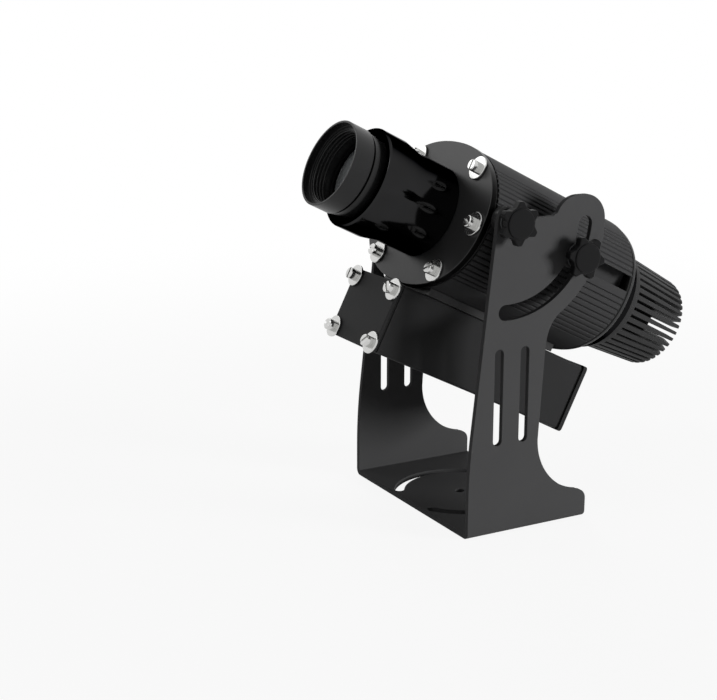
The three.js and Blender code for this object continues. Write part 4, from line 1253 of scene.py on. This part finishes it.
class PROJECTOR_OT_insides(Operator):
    """Give the pieces that stay as they are in the frame their materials"""

    bl_idname = "projector.insides"
    bl_label = "Inner pieces"

    finishes_of = {
        "rubber": ["front_gasket", "rear_gasket", "driver_front_gasket", "driver_rear_gasket"],
        "plate": ["optics_sleeve", "gobo_holder", "condenser_spacer", "rear_lens_ring"],
        "steel": [
            "gobo_disc", "gobo_ring", "saddle_screw_1", "saddle_screw_2", "pivot_nut_right",
            "pivot_nut_left", "lock_nut_right", "lock_nut_left",
        ],
        "glass": ["front_condenser", "rear_condenser"],
        "green": ["driver_board"],
        "white": ["lamp_board"],
        "yellow": ["lamp_chip"],
    }

    def execute(self, context):
        for finish, nodes in self.finishes_of.items():
            for node in nodes:
                coat(frame["nodes"][node], finish)
        for name, piece in frame["nodes"].items():
            if not piece.hide_render and not any(name in n for n in self.finishes_of.values()):
                raise RuntimeError(f"{name} has no finish")
        return {"FINISHED"}


class PROJECTOR_OT_stage(Operator):
    """Pale floor, soft light and the camera"""

    bl_idname = "projector.stage"
    bl_label = "Stage and camera"

    # Name, place and target in metres, two sides, watts, and whether gloss mirrors the lamp
    softboxes = [
        ("side_light", (1.75, 1.6, 0.35), (0, 0, 0.15), (0.7, 0.7), 57, False),
        ("front_light", (0.1, -1.5, 2.3), (0, 0, 0.15), (0.8, 0.8), 8, True),
        ("left_light", (-1.8, -1.1, 1.35), (0, 0, 0.2), (0.9, 0.6), 4, True),
        ("back_light", (-2.1, 0.8, 0.4), (0, 0, 0.15), (0.9, 0.9), 30, False),
        ("top_light", (-0.4, 0.9, 2.2), (0, 0, 0.1), (1.2, 1.2), 2.5, True),
    ]

    def softbox(self, name, place, target, size, power, mirrored):
        """A rectangular lamp turned towards its target"""
        light = bpy.data.lights.new(name, "AREA")
        light.shape = "RECTANGLE"
        light.size, light.size_y = size
        light.energy = power
        lamp = bpy.data.objects.new(name, light)
        bpy.context.scene.collection.objects.link(lamp)
        lamp.location = place
        lamp.visible_glossy = mirrored
        way = Vector(target) - Vector(place)
        lamp.rotation_euler = way.to_track_quat("-Z", "Y").to_euler()

    def shown_rays(self, tree):
        """1 for rays that show the background: camera, glossy and transmission rays"""
        path = tree.nodes.new("ShaderNodeLightPath")
        total = path.outputs["Is Camera Ray"]
        for ray in ("Is Glossy Ray", "Is Transmission Ray"):
            either = tree.nodes.new("ShaderNodeMath")
            either.operation = "MAXIMUM"
            tree.links.new(total, either.inputs[0])
            tree.links.new(path.outputs[ray], either.inputs[1])
            total = either.outputs[0]
        return total

    def show(self, tree, share, lit, shown, output):
        """Lays a share of the shown shader over the lit one"""
        mix = tree.nodes.new("ShaderNodeMixShader")
        for start, end in zip((share, lit.outputs[0], shown.outputs[0]), mix.inputs):
            tree.links.new(start, end)
        tree.links.new(mix.outputs[0], tree.nodes[output].inputs[0])

    def floor(self):
        """A pale floor that shades into the background away from the object"""
        bpy.ops.object.select_all(action="DESELECT")
        bpy.ops.mesh.primitive_circle_add(vertices=128, radius=4, fill_type="NGON")
        floor = bpy.context.object
        floor.name = "pale_floor"
        floor.location.z = -0.2 * MM
        finish = Finish("pale_floor", Roughness=0.9, Specular_IOR_Level=0.1)
        finish.shader.inputs["Base Color"].default_value = (0.9, 0.9, 0.9, 1)
        spread = finish.node("ShaderNodeVectorMath", {"operation": "LENGTH"}, {
            "Vector": finish.place(),
        }, 1)
        far = finish.node("ShaderNodeMapRange", {"interpolation_type": "SMOOTHSTEP"}, {
            "Value": spread, "From Min": 0.25, "From Max": 1.1, "To Min": 0.9, "To Max": 1,
        })
        tree = finish.tree
        glow = tree.nodes.new("ShaderNodeEmission")
        share = far * Value(finish, self.shown_rays(tree))
        self.show(tree, share.output, finish.shader, glow, "Material Output")
        floor.data.materials.append(finish.material)

    def world(self, scene):
        """White where it shows, dim where it lights"""
        scene.world = bpy.data.worlds.new("studio")
        scene.world.use_nodes = True
        tree = scene.world.node_tree
        around = tree.nodes["Background"]
        around.inputs["Color"].default_value = (1, 1, 1, 1)
        around.inputs["Strength"].default_value = 0.08
        shown = tree.nodes.new("ShaderNodeBackground")
        shown.inputs["Color"].default_value = (1, 1, 1, 1)
        self.show(tree, self.shown_rays(tree), around, shown, "World Output")

    def camera(self, scene):
        """The camera where the photograph was taken from"""
        camera = bpy.data.cameras.new("camera")
        camera.lens = 73.8
        camera.sensor_width = 36
        camera.clip_end = 50
        view = bpy.data.objects.new("camera", camera)
        scene.collection.objects.link(view)
        view.location = (0.8346, -0.5223, 0.3647)
        view.rotation_euler = Vector((-0.850, 0.463, -0.252)).to_track_quat("-Z", "Y").to_euler()
        scene.camera = view

    def execute(self, context):
        scene = context.scene
        scene.view_settings.view_transform = "Standard"
        self.world(scene)
        self.floor()
        for softbox in self.softboxes:
            self.softbox(*softbox)
        self.camera(scene)
        return {"FINISHED"}


class PROJECTOR_PT_panel(Panel):
    """Lists the pieces in the order in which they are made"""

    bl_label = "Gobo projector"
    bl_idname = "PROJECTOR_PT_panel"
    bl_space_type = "VIEW_3D"
    bl_region_type = "UI"
    bl_category = "Projector"

    def draw(self, context):
        for group in SIZES:
            box = self.layout.box()
            settings = getattr(context.scene, group)
            for name in settings.__class__.__annotations__:
                box.prop(settings, name)
        for step in STEPS:
            self.layout.operator(step.bl_idname)


SIZES = {
    "projector_yoke": YokeSizes,
    "projector_head": HeadSizes,
    "projector_optics": OpticsSizes,
    "projector_sink": SinkSizes,
    "projector_knobs": KnobSizes,
    "projector_colours": Colours,
}
STEPS = [
    PROJECTOR_OT_stage,
    PROJECTOR_OT_yoke,
    PROJECTOR_OT_tube,
    PROJECTOR_OT_end_plates,
    PROJECTOR_OT_screws,
    PROJECTOR_OT_barrel,
    PROJECTOR_OT_focus,
    PROJECTOR_OT_heat_sink,
    PROJECTOR_OT_driver_box,
    PROJECTOR_OT_clamps,
    PROJECTOR_OT_insides,
]
CLASSES = [*SIZES.values(), *STEPS, PROJECTOR_PT_panel]


def register():
    for one in CLASSES:
        bpy.utils.register_class(one)
    for name, group in SIZES.items():
        setattr(bpy.types.Scene, name, PointerProperty(type=group))


def unregister():
    for name in SIZES:
        delattr(bpy.types.Scene, name)
    for one in reversed(CLASSES):
        bpy.utils.unregister_class(one)


def plain(box):
    """The corners of a box as plain lists of numbers"""
    return [list(corner) for corner in box]


def main():
    """Makes the whole object and its stage"""
    register()
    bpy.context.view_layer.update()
    for step in STEPS:
        group, name = step.bl_idname.split(".")
        getattr(getattr(bpy.ops, group), name)()


if __name__ == "__main__":
    main()
